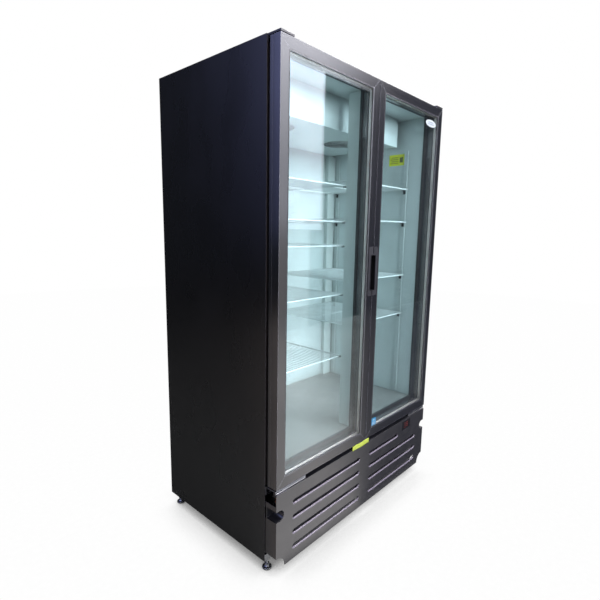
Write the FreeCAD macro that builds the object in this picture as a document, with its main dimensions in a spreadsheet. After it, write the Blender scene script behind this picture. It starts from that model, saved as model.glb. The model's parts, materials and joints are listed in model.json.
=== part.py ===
"""Two-door upright glass door merchandiser: a parametric model in millimetres.

The frame: X runs along the front, from the left door to the right door.  Y runs from the doors to
the back.  Z runs up from the floor.  The origin is on the floor, under the middle of the cabinet.
Lengths and places are written as expressions of the sheet's names, and stay bound to it.
"""
import FreeCAD, Part
import math
import os
import re
import Sketcher
from FreeCAD import Placement, Rotation, Vector

DIMENSIONS = {
    # planes of the cabinet
    "half_width": 600, "front": -312.5, "back": 376, "bottom": 56, "top": 2020,
    "sheet": 1.2, "seam": 0.2, "deck": 388, "back_inset": 2, "cutter": 10,
    "vent_low": 120, "vent_pitch": 36, "vent_high": 10, "vent_out": 480, "vent_in": 80,
    # inside of the insulated box
    "liner_half": 550, "liner_back": 312, "floor": 440, "ceiling": 1975,
    "strip_deep": 2, "lip_deep": 13, "lip_thick": 1.5, "mullion_half": 35, "mullion_deep": 75,
    # doors
    "door_face": -375, "door_deep": 50, "door_low": 390, "door_high": 2010, "door_side": 597,
    "door_gap": 3, "rail_wide": 46, "rail_wall": 2.2, "mitre_gap": 0.12, "mitre_over": 10,
    "glass_front": 3.2, "glass_back": 25.2, "glass_pocket": 37, "glass_thick": 4, "glass_play": 0.3,
    "spacer_wide": 9, "gasket_wide": 20, "gasket_deep": 12.2, "gasket_inset": 23,
    "gasket_free": 7, "gasket_low": 14,
    "hinge_side": 578, "hinge_line": -350.5, "pin_radius": 4, "running_fit": 0.08,
    "hinge_plate": 3, "hinge_inner": 531, "hinge_leg": 22, "top_plate_gap": 2.5, "pin_sink": 20,
    "pin_head_radius": 7.5, "pin_head_high": 4, "low_plate_gap": 6, "low_leg_drop": 43,
    "low_lip_drop": 20, "low_plate_inner": 425, "lip_inset": 5, "lip_hole_radius": 3.5,
    "lip_hole_side": -9,
    "lip_hole_pitch": 20, "lip_hole_drop": 14, "cartridge_drop": 40, "cartridge_radius": 10,
    "cartridge_high": 30.8, "neck_radius": 6, "bush_radius": 8, "bush_high": 5.6,
    "handle_low": 1087, "handle_high": 1308, "cup_low": 1108, "cup_high": 1272,
    "cup_deep": 28, "cup_wide": 31, "cup_wall": 2, "cup_play": 0.2, "grip_mouth": 17,
    "flange_wide": 33, "flange_thick": 1, "flange_round": 12.5,
    # grille
    "grille_low": 48, "grille_high": 369, "grille_thick": 3, "grille_gap": 0.5, "corner_cut": 50,
    "notch_low": 253, "notch_high": 299, "notch_deep": 42, "bridge_low": 299, "bridge_high": 320,
    "top_lip_deep": 40, "top_lip_inset": 4,
    "slot_out": 505, "slot_in": 40, "slot_first": 92, "slot_pitch": 66, "slot_high": 23,
    "slot_short": 314, "vane_thick": 2.4, "vane_lean": 17, "vane_inset": 9, "vane_over": 3,
    "vane_drop": 13, "vane_root": 2,
    "display_from": 353, "display_to": 441, "display_low": 310, "display_high": 358,
    "display_play": 0.3, "display_proud": 0.6, "display_deep": 26, "display_rim": 9,
    "display_sink": 1.2,
    # shelves and what carries them
    "shelf_outer": 540, "shelf_inner": 24, "shelf_front": -230, "shelf_rear": 285,
    "rim_radius": 3, "wire_radius": 1.5, "wire_pitch": 20, "wire_sink": 0.6, "shelf_lift": 0.3,
    "standard_wide": 22, "standard_deep": 6, "standard_low": 450, "standard_high": 1815,
    "standard_wall": 1.5, "standard_front": -207, "standard_rear": 262, "slot_spacing": 25.4,
    "slot_tall": 12, "slot_wide": 4, "clip_long": 14, "clip_tall": 20, "clip_wide": 12,
    "clip_thick": 3, "hook_thick": 2, "arm_reach": 34,
    # cooling inside the box
    "cooler_half": 500, "cooler_front": -172, "cooler_low": 1830, "cooler_side": 190,
    "cooler_rear": 292, "fan_ring": 95, "evaporator_half": 470, "evaporator_front": 136,
    "evaporator_rear": 246, "evaporator_low": 1838, "evaporator_high": 1962,
    "bend_front": 158, "bend_low": 1860, "bend_step": 32, "bend_rise": 40,
    "cooler_fin_first": -440, "cooler_fin_pitch": 29.3,
    "evaporator_fan": 85, "evaporator_hub": 18, "evaporator_hub_half": 12, "rotor_rise": 26,
    "fan_can_radius": 34, "fan_can_rise": 46, "fan_can_high": 50, "fan_bar_half": 12,
    "fan_bar_front": 120, "fan_bar_rear": 108, "fan_bar_thick": 3, "fan_pin_rise": 30,
    "fan_pin_long": 20, "blade_thick": 2,
    "blade_root": 0.8, "blade_share": 0.55,
    "duct_wide": 68, "duct_deep": 24, "duct_wall": 1.5, "duct_gap": 2, "drain_radius": 8,
    "drain_wall": 1.5, "drain_low": 150, "drain_high": 1815,
    "lamp_deep": 12, "lamp_wide": 24, "lamp_front": -298, "lamp_low": 480, "lamp_high": 1900,
    # machine compartment
    "pan_thick": 2, "pan_lip": 28,
    "compressor_x": 330, "compressor_y": 200, "compressor_radius": 88, "grommet_high": 12,
    "grommet_radius": 13, "grommet_x": 88, "grommet_y": 55, "base_half_x": 105, "base_half_y": 70,
    "base_thick": 5, "can_rise": 38, "can_high": 86, "dome_high": 44, "bowl_high": 36,
    "band_rise": 76, "band_high": 6, "band_proud": 4, "terminal_out": 24, "terminal_in": 14,
    "terminal_half": 32, "terminal_low": 50, "terminal_high": 112,
    "coil_from": -470, "coil_to": -60, "coil_front": -290, "coil_deep": 66, "coil_low": 66,
    "coil_high": 350, "fin_pitch": 12, "fin_thick": 1, "fin_edge": 4, "tube_radius": 5,
    "coil_tube_first": 24, "coil_tube_pitch": 34, "shroud_deep": 40, "shroud_wall": 2,
    "shroud_ring": 116, "condenser_fan": 110, "condenser_hub": 26, "condenser_hub_half": 10,
    "condenser_x": -265, "condenser_z": 208, "rotor_set": 39, "motor_set": 53, "motor_long": 46,
    "motor_radius": 38, "motor_pin_set": 30, "motor_pin_long": 24, "motor_arm_half": 150,
    "motor_arm_thick": 4, "motor_arm_high": 12, "motor_arm_set": 92,
    "pipe_thin": 2.4, "pipe_middle": 3.2, "pipe_thick": 5, "bend_tight": 14, "bend_middle": 18,
    "bend_wide": 20, "dome_top": 233, "discharge_high": 300, "discharge_x": 60,
    "suction_high": 330, "suction_x": 470, "feed_high": 320, "feed_x": 440, "feed_y": 120,
    "drier_y": -60, "drier_low": 151, "drier_high": 251, "drier_radius": 11, "drier_neck": 15,
    "drier_neck_radius": 5, "drier_end_gap": 0.5,
    "tray_from": 430, "tray_to": 570, "tray_front": 225, "tray_rear": 360, "tray_low": 96,
    "tray_high": 136, "tray_wall": 2, "tray_leg_inset": 10, "tray_leg": 4,
    "box_from": 40, "box_to": 170, "box_front": -300, "box_rear": -215, "box_high": 210,
    "box_lid": 6, "box_over": 2,
    "inlet_x": -530, "inlet_z": 115, "inlet_half": 30, "inlet_low": 80, "inlet_high": 150,
    "inlet_plate": 3, "inlet_set": 14, "inlet_foot": 60, "gland_long": 28, "gland_set": 30,
    "gland_radius": 14, "gland_bore": 5, "gland_clear": 16,
    # feet and screws
    "foot_x": 567, "foot_front": -292, "foot_rear": 345, "foot_radius": 20, "stem_radius": 6,
    "stem_top": 84, "foot_high": 9, "foot_bevel": 3, "nut_over": 5, "nut_rise": 7, "nut_high": 8,
    "screw_radius": 4, "screw_low": 1.4, "screw_tall": 2.2, "screw_back": 1.6, "screw_side": 12,
    "screw_pitch": 26, "screw_top_drop": 8, "screw_low_drop": 32,
    "back_screw_x": 575, "back_screw_low": 200, "back_screw_pitch": 560,
}
LEFT_SHELVES = (775, 1076, 1304, 1414, 1576)
RIGHT_SHELVES = (916, 1134, 1427, 1604)
SIDES = {"left": -1, "right": 1}
DRAIN = ("liner_half - duct_wide / 2", "liner_back - duct_deep / 2")
BACK_INNER = "back - back_inset - sheet - seam"
VENT_ROWS = 6
FAN_BLADES = 5
BLADE_TILT = 20
FEET = {
    "front_left": ("-foot_x", "foot_front"), "front_right": ("foot_x", "foot_front"),
    "rear_left": ("-foot_x", "foot_rear"), "rear_right": ("foot_x", "foot_rear"),
}

doc = FreeCAD.newDocument("merchandiser")
sheet = doc.addObject("Spreadsheet::Sheet", "Sizes")
for row, (alias, value) in enumerate(DIMENSIONS.items(), start=1):
    sheet.set(f"A{row}", alias)
    sheet.set(f"B{row}", str(value))
    sheet.setAlias(f"B{row}", alias)
doc.recompute()
SUBPARTS = []


def bound(text):
    """The expression with each name of the sheet written in full."""
    return re.sub(r"[a-z][a-z_]+", lambda name: "Sizes." + name[0], str(text))


def number(text):
    """The value of an expression now."""
    return float(sheet.evalExpression(bound(text)))


def flip(span, side):
    """A span of X for the left side (-1), or its mirror image for the right side (+1)."""
    if side < 0:
        return span
    return (f"-({span[1]})", f"-({span[0]})")


def subpart(item, label):
    item.Label = label
    SUBPARTS.append(item)
    return item


def put(item, x, y, z):
    for axis, text in zip("xyz", (x, y, z)):
        item.setExpression(f"Placement.Base.{axis}", bound(text))
    return item


def block(name, x, y, z):
    """A box between two expressions on each axis."""
    box = doc.addObject("Part::Box", name)
    for side, span in zip(("Length", "Width", "Height"), (x, y, z)):
        box.setExpression(side, bound(f"({span[1]}) - ({span[0]})"))
    return put(box, x[0], y[0], z[0])


TURNS = {"x": Rotation(Vector(0, 1, 0), 90), "y": Rotation(Vector(1, 0, 0), -90), "z": Rotation()}


def rod(name, axis, start, length, radius):
    """A cylinder that runs from start along +axis."""
    cylinder = doc.addObject("Part::Cylinder", name)
    cylinder.setExpression("Radius", bound(radius))
    cylinder.setExpression("Height", bound(length))
    cylinder.Placement = Placement(Vector(), TURNS[axis])
    return put(cylinder, *start)


def ball(name, centre, radii):
    """An ellipsoid from its vertical and level radii."""
    item = doc.addObject("Part::Ellipsoid", name)
    for side, text in zip(("Radius1", "Radius2", "Radius3"), (radii[0], radii[1], radii[1])):
        item.setExpression(side, bound(text))
    return put(item, *centre)


def group(name, parts):
    """Separate solids in one object."""
    item = doc.addObject("Part::Compound", name)
    item.Links = parts
    return item


def fuse(name, parts):
    item = doc.addObject("Part::MultiFuse", name)
    item.Shapes = parts
    return item


def cut(name, base, tools):
    item = doc.addObject("Part::Cut", name)
    item.Base = base
    item.Tool = tools[0] if len(tools) == 1 else group(name + "_tools", tools)
    return item


def round_edges(name, base, radius, wanted):
    """Fillet the edges of base that wanted(edge) picks."""
    doc.recompute()
    item = doc.addObject("Part::Fillet", name)
    item.Base = base
    size = number(radius)
    edges = enumerate(base.Shape.Edges, start=1)
    item.Edges = [(index, size, size) for index, edge in edges if wanted(edge)]
    return item


def new_sketch(body, role, name):
    sketch = body.newObject("Sketcher::SketchObject", name)
    plane = next(item for item in body.Origin.OriginFeatures if item.Role == role)
    sketch.AttachmentSupport = (plane, "")
    sketch.MapMode = "FlatFace"
    return sketch


def polygon(sketch, points):
    """A closed outline whose corners are pairs of expressions."""
    start = sketch.GeometryCount
    count = len(points)
    corners = [Vector(number(u), number(v), 0) for u, v in points]
    for index in range(count):
        sketch.addGeometry(Part.LineSegment(corners[index], corners[(index + 1) % count]))
    for index in range(count):
        follower = start + (index + 1) % count
        sketch.addConstraint(Sketcher.Constraint("Coincident", start + index, 2, follower, 1))
    for index, (u, v) in enumerate(points):
        for kind, text in (("DistanceX", u), ("DistanceY", v)):
            value = number(text)
            made = sketch.addConstraint(Sketcher.Constraint(kind, -1, 1, start + index, 1, value))
            sketch.setExpression(f"Constraints[{made}]", bound(text))


def pad(body, sketch, name, length):
    feature = body.newObject("PartDesign::Pad", name)
    feature.Profile = sketch
    feature.setExpression("Length", bound(length))
    return feature


def through_pocket(body, sketch, name):
    feature = body.newObject("PartDesign::Pocket", name)
    feature.Profile = sketch
    feature.Type = 1
    feature.Midplane = True
    return feature


def revolved(name, profile):
    """A body turned about its vertical axis from a half outline in (radius, height)."""
    body = doc.addObject("PartDesign::Body", name)
    sketch = new_sketch(body, "XZ_Plane", name + "_profile")
    polygon(sketch, profile)
    turn = body.newObject("PartDesign::Revolution", name + "_turn")
    turn.Profile = sketch
    turn.ReferenceAxis = (sketch, ["V_Axis"])
    turn.Angle = 360
    return body


# ---------------------------------------------------------------- insulated cabinet

def outer_panels():
    """The painted side and top sheets, and the back sheet with its louvre slots."""
    for word, side in SIDES.items():
        span = flip(("-half_width", "-half_width + sheet"), side)
        subpart(block(f"side_{word}", span, ("front", "back"), ("bottom", "top")),
                f"side_panel_{word}")
    inner = ("-half_width + sheet + seam", "half_width - sheet - seam")
    subpart(block("roof", inner, ("front + strip_deep + seam", "back"), ("top - sheet", "top")),
            "top_panel")
    plate = block("back_plate", inner, ("back - back_inset - sheet", "back - back_inset"),
                  ("bottom", "top - sheet - seam"))
    through = ("back - cutter", "back")
    slots = [rod("gland_hole", "y", ("inlet_x", "back - cutter", "inlet_z"), "cutter", "gland_clear")]
    for row in range(VENT_ROWS):
        low = f"vent_low + {row} * vent_pitch"
        for word, side in SIDES.items():
            span = flip(("-vent_out", "-vent_in"), side)
            slots.append(block(f"back_slot_{word}_{row}", span, through, (low, f"{low} + vent_high")))
    subpart(cut("back_sheet", plate, slots), "back_panel")


def insulation():
    """The foam between the skins, as one slab for each wall."""
    side = ("-half_width + sheet + seam", "-liner_half - sheet - seam")
    between = ("-liner_half - sheet", "liner_half + sheet")
    behind = ("front + strip_deep + seam", BACK_INNER)
    inside = ("front + strip_deep + seam", "liner_back + sheet")
    full = ("deck + seam", "top - sheet - seam")
    drain = rod("foam_drain", "z", DRAIN + ("deck",), "floor - deck", "drain_radius + seam")
    base = block("foam_base", between, inside, ("deck + seam", "floor - sheet - seam"))
    slabs = [
        block("foam_left", side, behind, full),
        block("foam_right", flip(side, 1), behind, full),
        block("foam_back", between, ("liner_back + sheet + seam", BACK_INNER), full),
        block("foam_top", between, inside, ("ceiling + sheet + seam", "top - sheet - seam")),
        cut("foam_floor", base, [drain]),
    ]
    subpart(group("foam", slabs), "insulation_foam")


def liner():
    """The white inner skin: two walls, back, ceiling and floor."""
    wall = ("-liner_half - sheet", "-liner_half")
    across = ("-liner_half + seam", "liner_half - seam")
    deep = ("front + strip_deep + seam", "liner_back")
    tall = ("floor - sheet", "ceiling + sheet")
    drain = rod("liner_drain", "z", DRAIN + ("deck",), "floor + sheet - deck", "drain_radius + seam")
    base = block("liner_base", across, deep, ("floor - sheet", "floor"))
    sheets = [
        block("liner_left", wall, deep, tall),
        block("liner_right", flip(wall, 1), deep, tall),
        block("liner_rear", across, ("liner_back + seam", "liner_back + sheet"), tall),
        block("liner_top", across, deep, ("ceiling", "ceiling + sheet")),
        cut("liner_floor", base, [drain]),
    ]
    subpart(group("liner", sheets), "cabinet_liner")


def front_face():
    """The strips round the two openings, with lips that turn into the box, and the middle post."""
    deep = ("front", "front + strip_deep")
    side = ("-half_width + sheet + seam", "-liner_half")
    inner = ("-liner_half + seam", "liner_half - seam")
    turned = ("front", "front + lip_deep")
    tall = ("floor + lip_thick + seam", "ceiling - lip_thick - seam")
    lip = ("-liner_half + seam", "-liner_half + lip_thick")
    strips = [
        block("strip_left", side, deep, ("deck", "top")),
        block("strip_right", flip(side, 1), deep, ("deck", "top")),
        block("strip_top", inner, deep, ("ceiling", "top")),
        block("strip_low", inner, deep, ("deck", "floor")),
        block("lip_left", lip, turned, tall),
        block("lip_right", flip(lip, 1), turned, tall),
        block("lip_top", inner, turned, ("ceiling - lip_thick", "ceiling - seam")),
        block("lip_low", inner, turned, ("floor + seam", "floor + lip_thick")),
        block("strip_post", ("-mullion_half - lip_thick", "mullion_half + lip_thick"), deep, tall),
    ]
    for word, span in (("a", ("-mullion_half - lip_thick", "-mullion_half - seam")),
                       ("b", ("mullion_half + seam", "mullion_half + lip_thick"))):
        strips.append(block(f"lip_post_{word}", span, ("front + strip_deep + seam", turned[1]), tall))
    subpart(group("strips", strips), "breaker_strips")
    post = block("post_blank", ("-mullion_half", "mullion_half"),
                 ("front + strip_deep + seam", "front + mullion_deep"),
                 ("floor + lip_thick + seam", "ceiling - lip_thick - seam"))
    rounded = round_edges("post", post, "strip_deep", lambda edge: edge.BoundBox.ZLength > 500
                          and edge.CenterOfMass.y > number("front + mullion_deep / 2"))
    subpart(rounded, "centre_mullion")


def lamps():
    """One upright light bar in each bay, facing right on the wall and on the post."""
    deep = ("lamp_front", "lamp_front + lamp_wide")
    tall = ("lamp_low", "lamp_high")
    bars = [
        block("lamp_left", ("-liner_half", "-liner_half + lamp_deep"), deep, tall),
        block("lamp_right", ("mullion_half", "mullion_half + lamp_deep"), deep, tall),
    ]
    rounded = []
    for bar in bars:
        rounded.append(round_edges(bar.Name + "_round", bar, "rim_radius",
                                   lambda edge, bar=bar: edge.BoundBox.ZLength > 500
                                   and edge.CenterOfMass.x > bar.Shape.CenterOfMass.x))
    subpart(group("lamp_pair", rounded), "light_bars")


# ---------------------------------------------------------------- shelves

def slotted_strip(name, wide):
    """An upright steel strip along +Z with a row of slots, its back on the plane X = 0."""
    body = doc.addObject("PartDesign::Body", name)
    outline = new_sketch(body, "XY_Plane", name + "_section")
    half = f"({wide}) / 2"
    polygon(outline, [("0", f"-{half}"), ("standard_deep", f"-{half}"), ("standard_deep", half),
                      ("0", half), ("0", f"{half} - standard_wall"),
                      ("standard_deep - standard_wall", f"{half} - standard_wall"),
                      ("standard_deep - standard_wall", f"standard_wall - {half}"),
                      ("0", f"standard_wall - {half}")])
    pad(body, outline, name + "_channel", "standard_high - standard_low")
    doc.recompute()
    slot = new_sketch(body, "YZ_Plane", name + "_slot")
    low = "slot_spacing / 2"
    polygon(slot, [("-slot_wide / 2", low), ("slot_wide / 2", low),
                   ("slot_wide / 2", f"{low} + slot_tall"), ("-slot_wide / 2", f"{low} + slot_tall")])
    pocket = through_pocket(body, slot, name + "_cut")
    doc.recompute()
    pattern = body.newObject("PartDesign::LinearPattern", name + "_row")
    pattern.Originals = [pocket]
    pattern.Direction = (body.Origin.OriginFeatures[2], [""])
    count = int(number("(standard_high - standard_low) / slot_spacing"))
    pattern.setExpression("Length", bound(f"slot_spacing * {count - 1}"))
    pattern.Occurrences = count
    body.Tip = pattern
    return body


def standards():
    """Slotted uprights: two on each side wall, one behind the middle post and one on the back."""
    strip = slotted_strip("standard", "standard_wide")
    turns = {"left": 0, "right": 180}
    copies = []
    for word, side in SIDES.items():
        for place in ("standard_front", "standard_rear"):
            copy = group(f"{place}_{word}", [strip])
            copy.Placement = Placement(Vector(), Rotation(Vector(0, 0, 1), turns[word]))
            copies.append(put(copy, f"{side} * liner_half", place, "standard_low"))
    for name, turn, depth in (("behind_post", 90, "front + mullion_deep"),
                              ("on_back", -90, "liner_back")):
        copy = group(f"standard_{name}", [strip])
        copy.Placement = Placement(Vector(), Rotation(Vector(0, 0, 1), turn))
        copies.append(put(copy, "0", depth, "standard_low"))
    subpart(group("standard_set", copies), "shelf_standards")


def wire_deck():
    """One wire shelf, its left rear corner at X = 0, Y = 0 less the rim, and its rim on Z = 0."""
    wide = "(shelf_outer - shelf_inner)"
    deep = "(shelf_rear - shelf_front)"
    rods = []
    for name, place in (("front", "-rim_radius"), ("middle", f"-{deep} / 2"),
                        ("rear", f"rim_radius - {deep}")):
        rods.append(rod(f"rim_{name}", "x", ("0", place, "rim_radius"), wide, "rim_radius"))
    for name, place in (("a", "rim_radius"), ("b", f"{wide} - rim_radius")):
        rods.append(rod(f"rim_{name}", "y", (place, f"-{deep}", "rim_radius"), deep, "rim_radius"))
    count = int(number(f"({wide} - 4 * rim_radius) / wire_pitch"))
    first = f"({wide} - {count} * wire_pitch) / 2"
    height = "2 * rim_radius + wire_radius - wire_sink"
    for index in range(count + 1):
        place = (f"{first} + {index} * wire_pitch", f"-{deep}", height)
        rods.append(rod(f"wire_{index}", "y", place, deep, "wire_radius"))
    return fuse("wire_deck", rods)


def shelves():
    """The wire shelves of both bays, each one resting on four clips."""
    deck = wire_deck()
    along = ("-clip_long / 2", "clip_long / 2")
    clip = block("clip_plate", ("0", "clip_wide"), along, ("-clip_thick", "0"))
    hook = block("clip_hook", ("0", "hook_thick"), along, ("-clip_tall", "0"))
    bracket = fuse("clip_bracket", [clip, hook])
    clips = []
    bays = {"left": (LEFT_SHELVES, "-shelf_outer"), "right": (RIGHT_SHELVES, "shelf_inner")}
    for word, (levels, start) in bays.items():
        for index, level in enumerate(levels, start=1):
            shelf = group(f"shelf_{word}_{index}", [deck])
            subpart(put(shelf, start, "shelf_rear", level), f"wire_shelf_{word}_{index}")
            clips += shelf_clips(bracket, SIDES[word], f"{word}_{index}", level)
    subpart(group("clip_set", clips), "shelf_clips")


def shelf_clips(bracket, side, name, level):
    """Four clips under one shelf: two on the wall's uprights and two on the middle ones."""
    clips = []
    low = f"{level} - shelf_lift"
    wall_turn = 0 if side < 0 else 180
    for place in ("standard_front", "standard_rear"):
        clip = group(f"clip_{name}_{place}", [bracket])
        clip.Placement = Placement(Vector(), Rotation(Vector(0, 0, 1), wall_turn))
        clips.append(put(clip, f"{side} * (liner_half - standard_deep)", place, low))
    for word, turn, place in (("post", 90, "front + mullion_deep + standard_deep"),
                              ("rear", -90, "liner_back - standard_deep")):
        clips.append(middle_arm(f"{name}_{word}", side, turn, place, low))
    return clips


def middle_arm(name, side, turn, place, low):
    """A clip on a middle upright, whose arm reaches sideways under the shelf's corner."""
    if turn > 0:
        deep = (place, f"{place} + clip_long")
        thin = (place, f"{place} + hook_thick")
    else:
        deep = (f"{place} - clip_long", place)
        thin = (f"{place} - hook_thick", place)
    arm = block(f"arm_{name}", flip(("-arm_reach", "-seam * 2"), side), deep,
                (f"{low} - clip_thick", low))
    hook = block(f"arm_hook_{name}", flip(("-standard_wide / 2", "-seam * 2"), side), thin,
                 (f"{low} - clip_tall", low))
    return fuse(f"arm_clip_{name}", [arm, hook])


# ---------------------------------------------------------------- cooling inside the box

def cooler():
    """The evaporator under the ceiling: its cover, coil, two motors and two fans."""
    outside = block("cover_outside", ("-cooler_half", "cooler_half"),
                    ("cooler_front", "cooler_rear"), ("cooler_low", "ceiling - seam"))
    inside = block("cover_inside", ("-cooler_half + sheet", "cooler_half - sheet"),
                   ("cooler_front + sheet", "liner_back"), ("cooler_low + sheet", "ceiling"))
    holes = []
    for word, side in SIDES.items():
        centre = (f"{side} * cooler_half / 2", "cooler_front + cooler_side",
                  "cooler_low - cutter / 2")
        holes.append(rod(f"fan_hole_{word}", "z", centre, "cutter", "fan_ring"))
    subpart(cut("cover", outside, [inside] + holes), "evaporator_cover")
    subpart(cooler_coil(), "evaporator_coil")
    motors = []
    for word, side in SIDES.items():
        x = f"{side} * cooler_half / 2"
        y = "cooler_front + cooler_side"
        motors.append(cooler_motor(word, x, y))
        rotor = fan_rotor(f"evaporator_rotor_{word}", "evaporator_fan", "evaporator_hub",
                          "evaporator_hub_half")
        subpart(put(rotor, x, y, "cooler_low + rotor_rise"), f"evaporator_fan_{word}")
    subpart(group("motor_pair", motors), "evaporator_motors")


def cooler_coil():
    """Three by three tubes through a row of fins."""
    parts = []
    for row in range(3):
        for column in range(3):
            start = ("-evaporator_half", f"bend_front + {column} * bend_step",
                     f"bend_low + {row} * bend_rise")
            parts.append(rod(f"cooler_tube_{row}_{column}", "x", start, "2 * evaporator_half",
                             "tube_radius"))
    count = int(number("-2 * cooler_fin_first / cooler_fin_pitch"))
    for index in range(count + 1):
        start = f"cooler_fin_first + {index} * cooler_fin_pitch"
        parts.append(block(f"cooler_fin_{index}", (start, f"{start} + fin_thick"),
                           ("evaporator_front", "evaporator_rear"),
                           ("evaporator_low", "evaporator_high")))
    return fuse("cooler_coil", parts)


def cooler_motor(word, x, y):
    """A small fan motor that hangs from its bar, with its pin pointing down."""
    can = rod(f"motor_can_{word}", "z", (x, y, "cooler_low + fan_can_rise"), "fan_can_high",
              "fan_can_radius")
    top = "cooler_low + fan_can_rise + fan_can_high"
    bar = block(f"motor_bar_{word}", (f"{x} - fan_bar_half", f"{x} + fan_bar_half"),
                (f"{y} - fan_bar_front", f"{y} + fan_bar_rear"), (top, f"{top} + fan_bar_thick"))
    pin = rod(f"motor_pin_{word}", "z", (x, y, "cooler_low + fan_pin_rise"), "fan_pin_long",
              "pin_radius")
    return fuse(f"motor_{word}", [can, bar, pin])


def fan_rotor(name, radius, hub, half):
    """A bladed rotor about +Z whose hub is centred on the origin and runs on its motor's pin."""
    bore = "pin_radius + running_fit"
    body = revolved(name, [(bore, f"-({half})"), (hub, f"-({half})"), (hub, half), (bore, half)])
    doc.recompute()
    blade = body.newObject("PartDesign::AdditiveBox", name + "_blade")
    root = f"blade_root * {hub}"
    wide = f"blade_share * {radius}"
    blade.setExpression("Length", bound(f"{radius} - {root}"))
    blade.setExpression("Width", bound(wide))
    blade.setExpression("Height", bound("blade_thick"))
    tilt = Rotation(Vector(1, 0, 0), BLADE_TILT)
    corner = Vector(0, -number(wide) / 2, -number("blade_thick") / 2)
    doc.recompute()
    blade.Placement = Placement(Vector(number(root), 0, 0) + tilt.multVec(corner), tilt)
    doc.recompute()
    pattern = body.newObject("PartDesign::PolarPattern", name + "_blades")
    pattern.Originals = [blade]
    pattern.Axis = (body.Origin.OriginFeatures[2], [""])
    pattern.Angle = 360
    pattern.Occurrences = FAN_BLADES
    body.Tip = pattern
    return body


def drain():
    """The duct in the rear corner, and the drain tube inside it down to the tray."""
    x = ("liner_half - duct_wide", "liner_half - seam")
    y = ("liner_back - duct_deep", "liner_back")
    outside = block("duct_outside", x, y, ("floor + seam", "cooler_low - duct_gap"))
    inside = block("duct_inside", (f"{x[0]} + duct_wall", f"{x[1]} - duct_wall"),
                   (f"{y[0]} + duct_wall", f"{y[1]} + cutter"), ("floor", "cooler_low"))
    subpart(cut("duct", outside, [inside]), "drain_duct")
    outer = rod("drain_outer", "z", DRAIN + ("drain_low",), "drain_high - drain_low", "drain_radius")
    inner = rod("drain_inner", "z", DRAIN + ("drain_low - cutter",),
                "drain_high - drain_low + 2 * cutter", "drain_radius - drain_wall")
    subpart(cut("drain_pipe", outer, [inner]), "drain_tube")


# ---------------------------------------------------------------- machine compartment

def base_frame():
    """The bottom pan with its two upturned edges, and the sheet that carries the floor foam."""
    across = ("-half_width + sheet + seam", "half_width - sheet - seam")
    deep = ("front", BACK_INNER)
    edge = ("bottom", "bottom + pan_lip")
    plate = block("pan_plate", across, deep, ("bottom", "bottom + pan_thick"))
    lips = [
        block("pan_front", across, ("front", "front + pan_thick"), edge),
        block("pan_rear", across, (f"{deep[1]} - pan_thick", deep[1]), edge),
    ]
    holes = []
    for index, (x, y) in enumerate(FEET.values()):
        holes.append(rod(f"pan_hole_{index}", "z", (x, y, "bottom - cutter / 2"),
                         "pan_thick + cutter", "stem_radius + running_fit"))
    pan = cut("pan", fuse("pan_blank", [plate] + lips), holes)
    drain_hole = rod("deck_drain", "z", DRAIN + ("deck - cutter",), "2 * cutter",
                     "drain_radius + seam")
    carrier = block("deck_blank", across, ("front + strip_deep + seam", deep[1]),
                    ("deck - sheet", "deck"))
    subpart(group("base", [pan, cut("deck_sheet", carrier, [drain_hole])]), "base_frame")


def compressor():
    """A hermetic compressor: a domed can on a foot plate with a terminal box."""
    x = "compressor_x"
    y = "compressor_y"
    low = "bottom + pan_thick + grommet_high"
    waist = f"{low} + can_rise"
    side = f"{x} - compressor_radius"
    parts = [
        rod("can", "z", (x, y, waist), "can_high", "compressor_radius"),
        ball("can_top", (x, y, f"{waist} + can_high"), ("dome_high", "compressor_radius")),
        ball("can_base", (x, y, waist), ("bowl_high", "compressor_radius")),
        rod("can_band", "z", (x, y, f"{low} + band_rise"), "band_high",
            "compressor_radius + band_proud"),
        block("can_plate", (f"{x} - base_half_x", f"{x} + base_half_x"),
              (f"{y} - base_half_y", f"{y} + base_half_y"), (low, f"{low} + base_thick")),
        block("terminal_box", (f"{side} - terminal_out", f"{side} + terminal_in"),
              (f"{y} - terminal_half", f"{y} + terminal_half"),
              (f"{low} + terminal_low", f"{low} + terminal_high")),
    ]
    for index, (dx, dy) in enumerate(((-1, -1), (1, -1), (1, 1), (-1, 1))):
        place = (f"{x} + {dx} * grommet_x", f"{y} + {dy} * grommet_y", "bottom + pan_thick")
        parts.append(rod(f"grommet_{index}", "z", place, "grommet_high + pan_thick",
                         "grommet_radius"))
    subpart(fuse("compressor_body", parts), "compressor")


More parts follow.
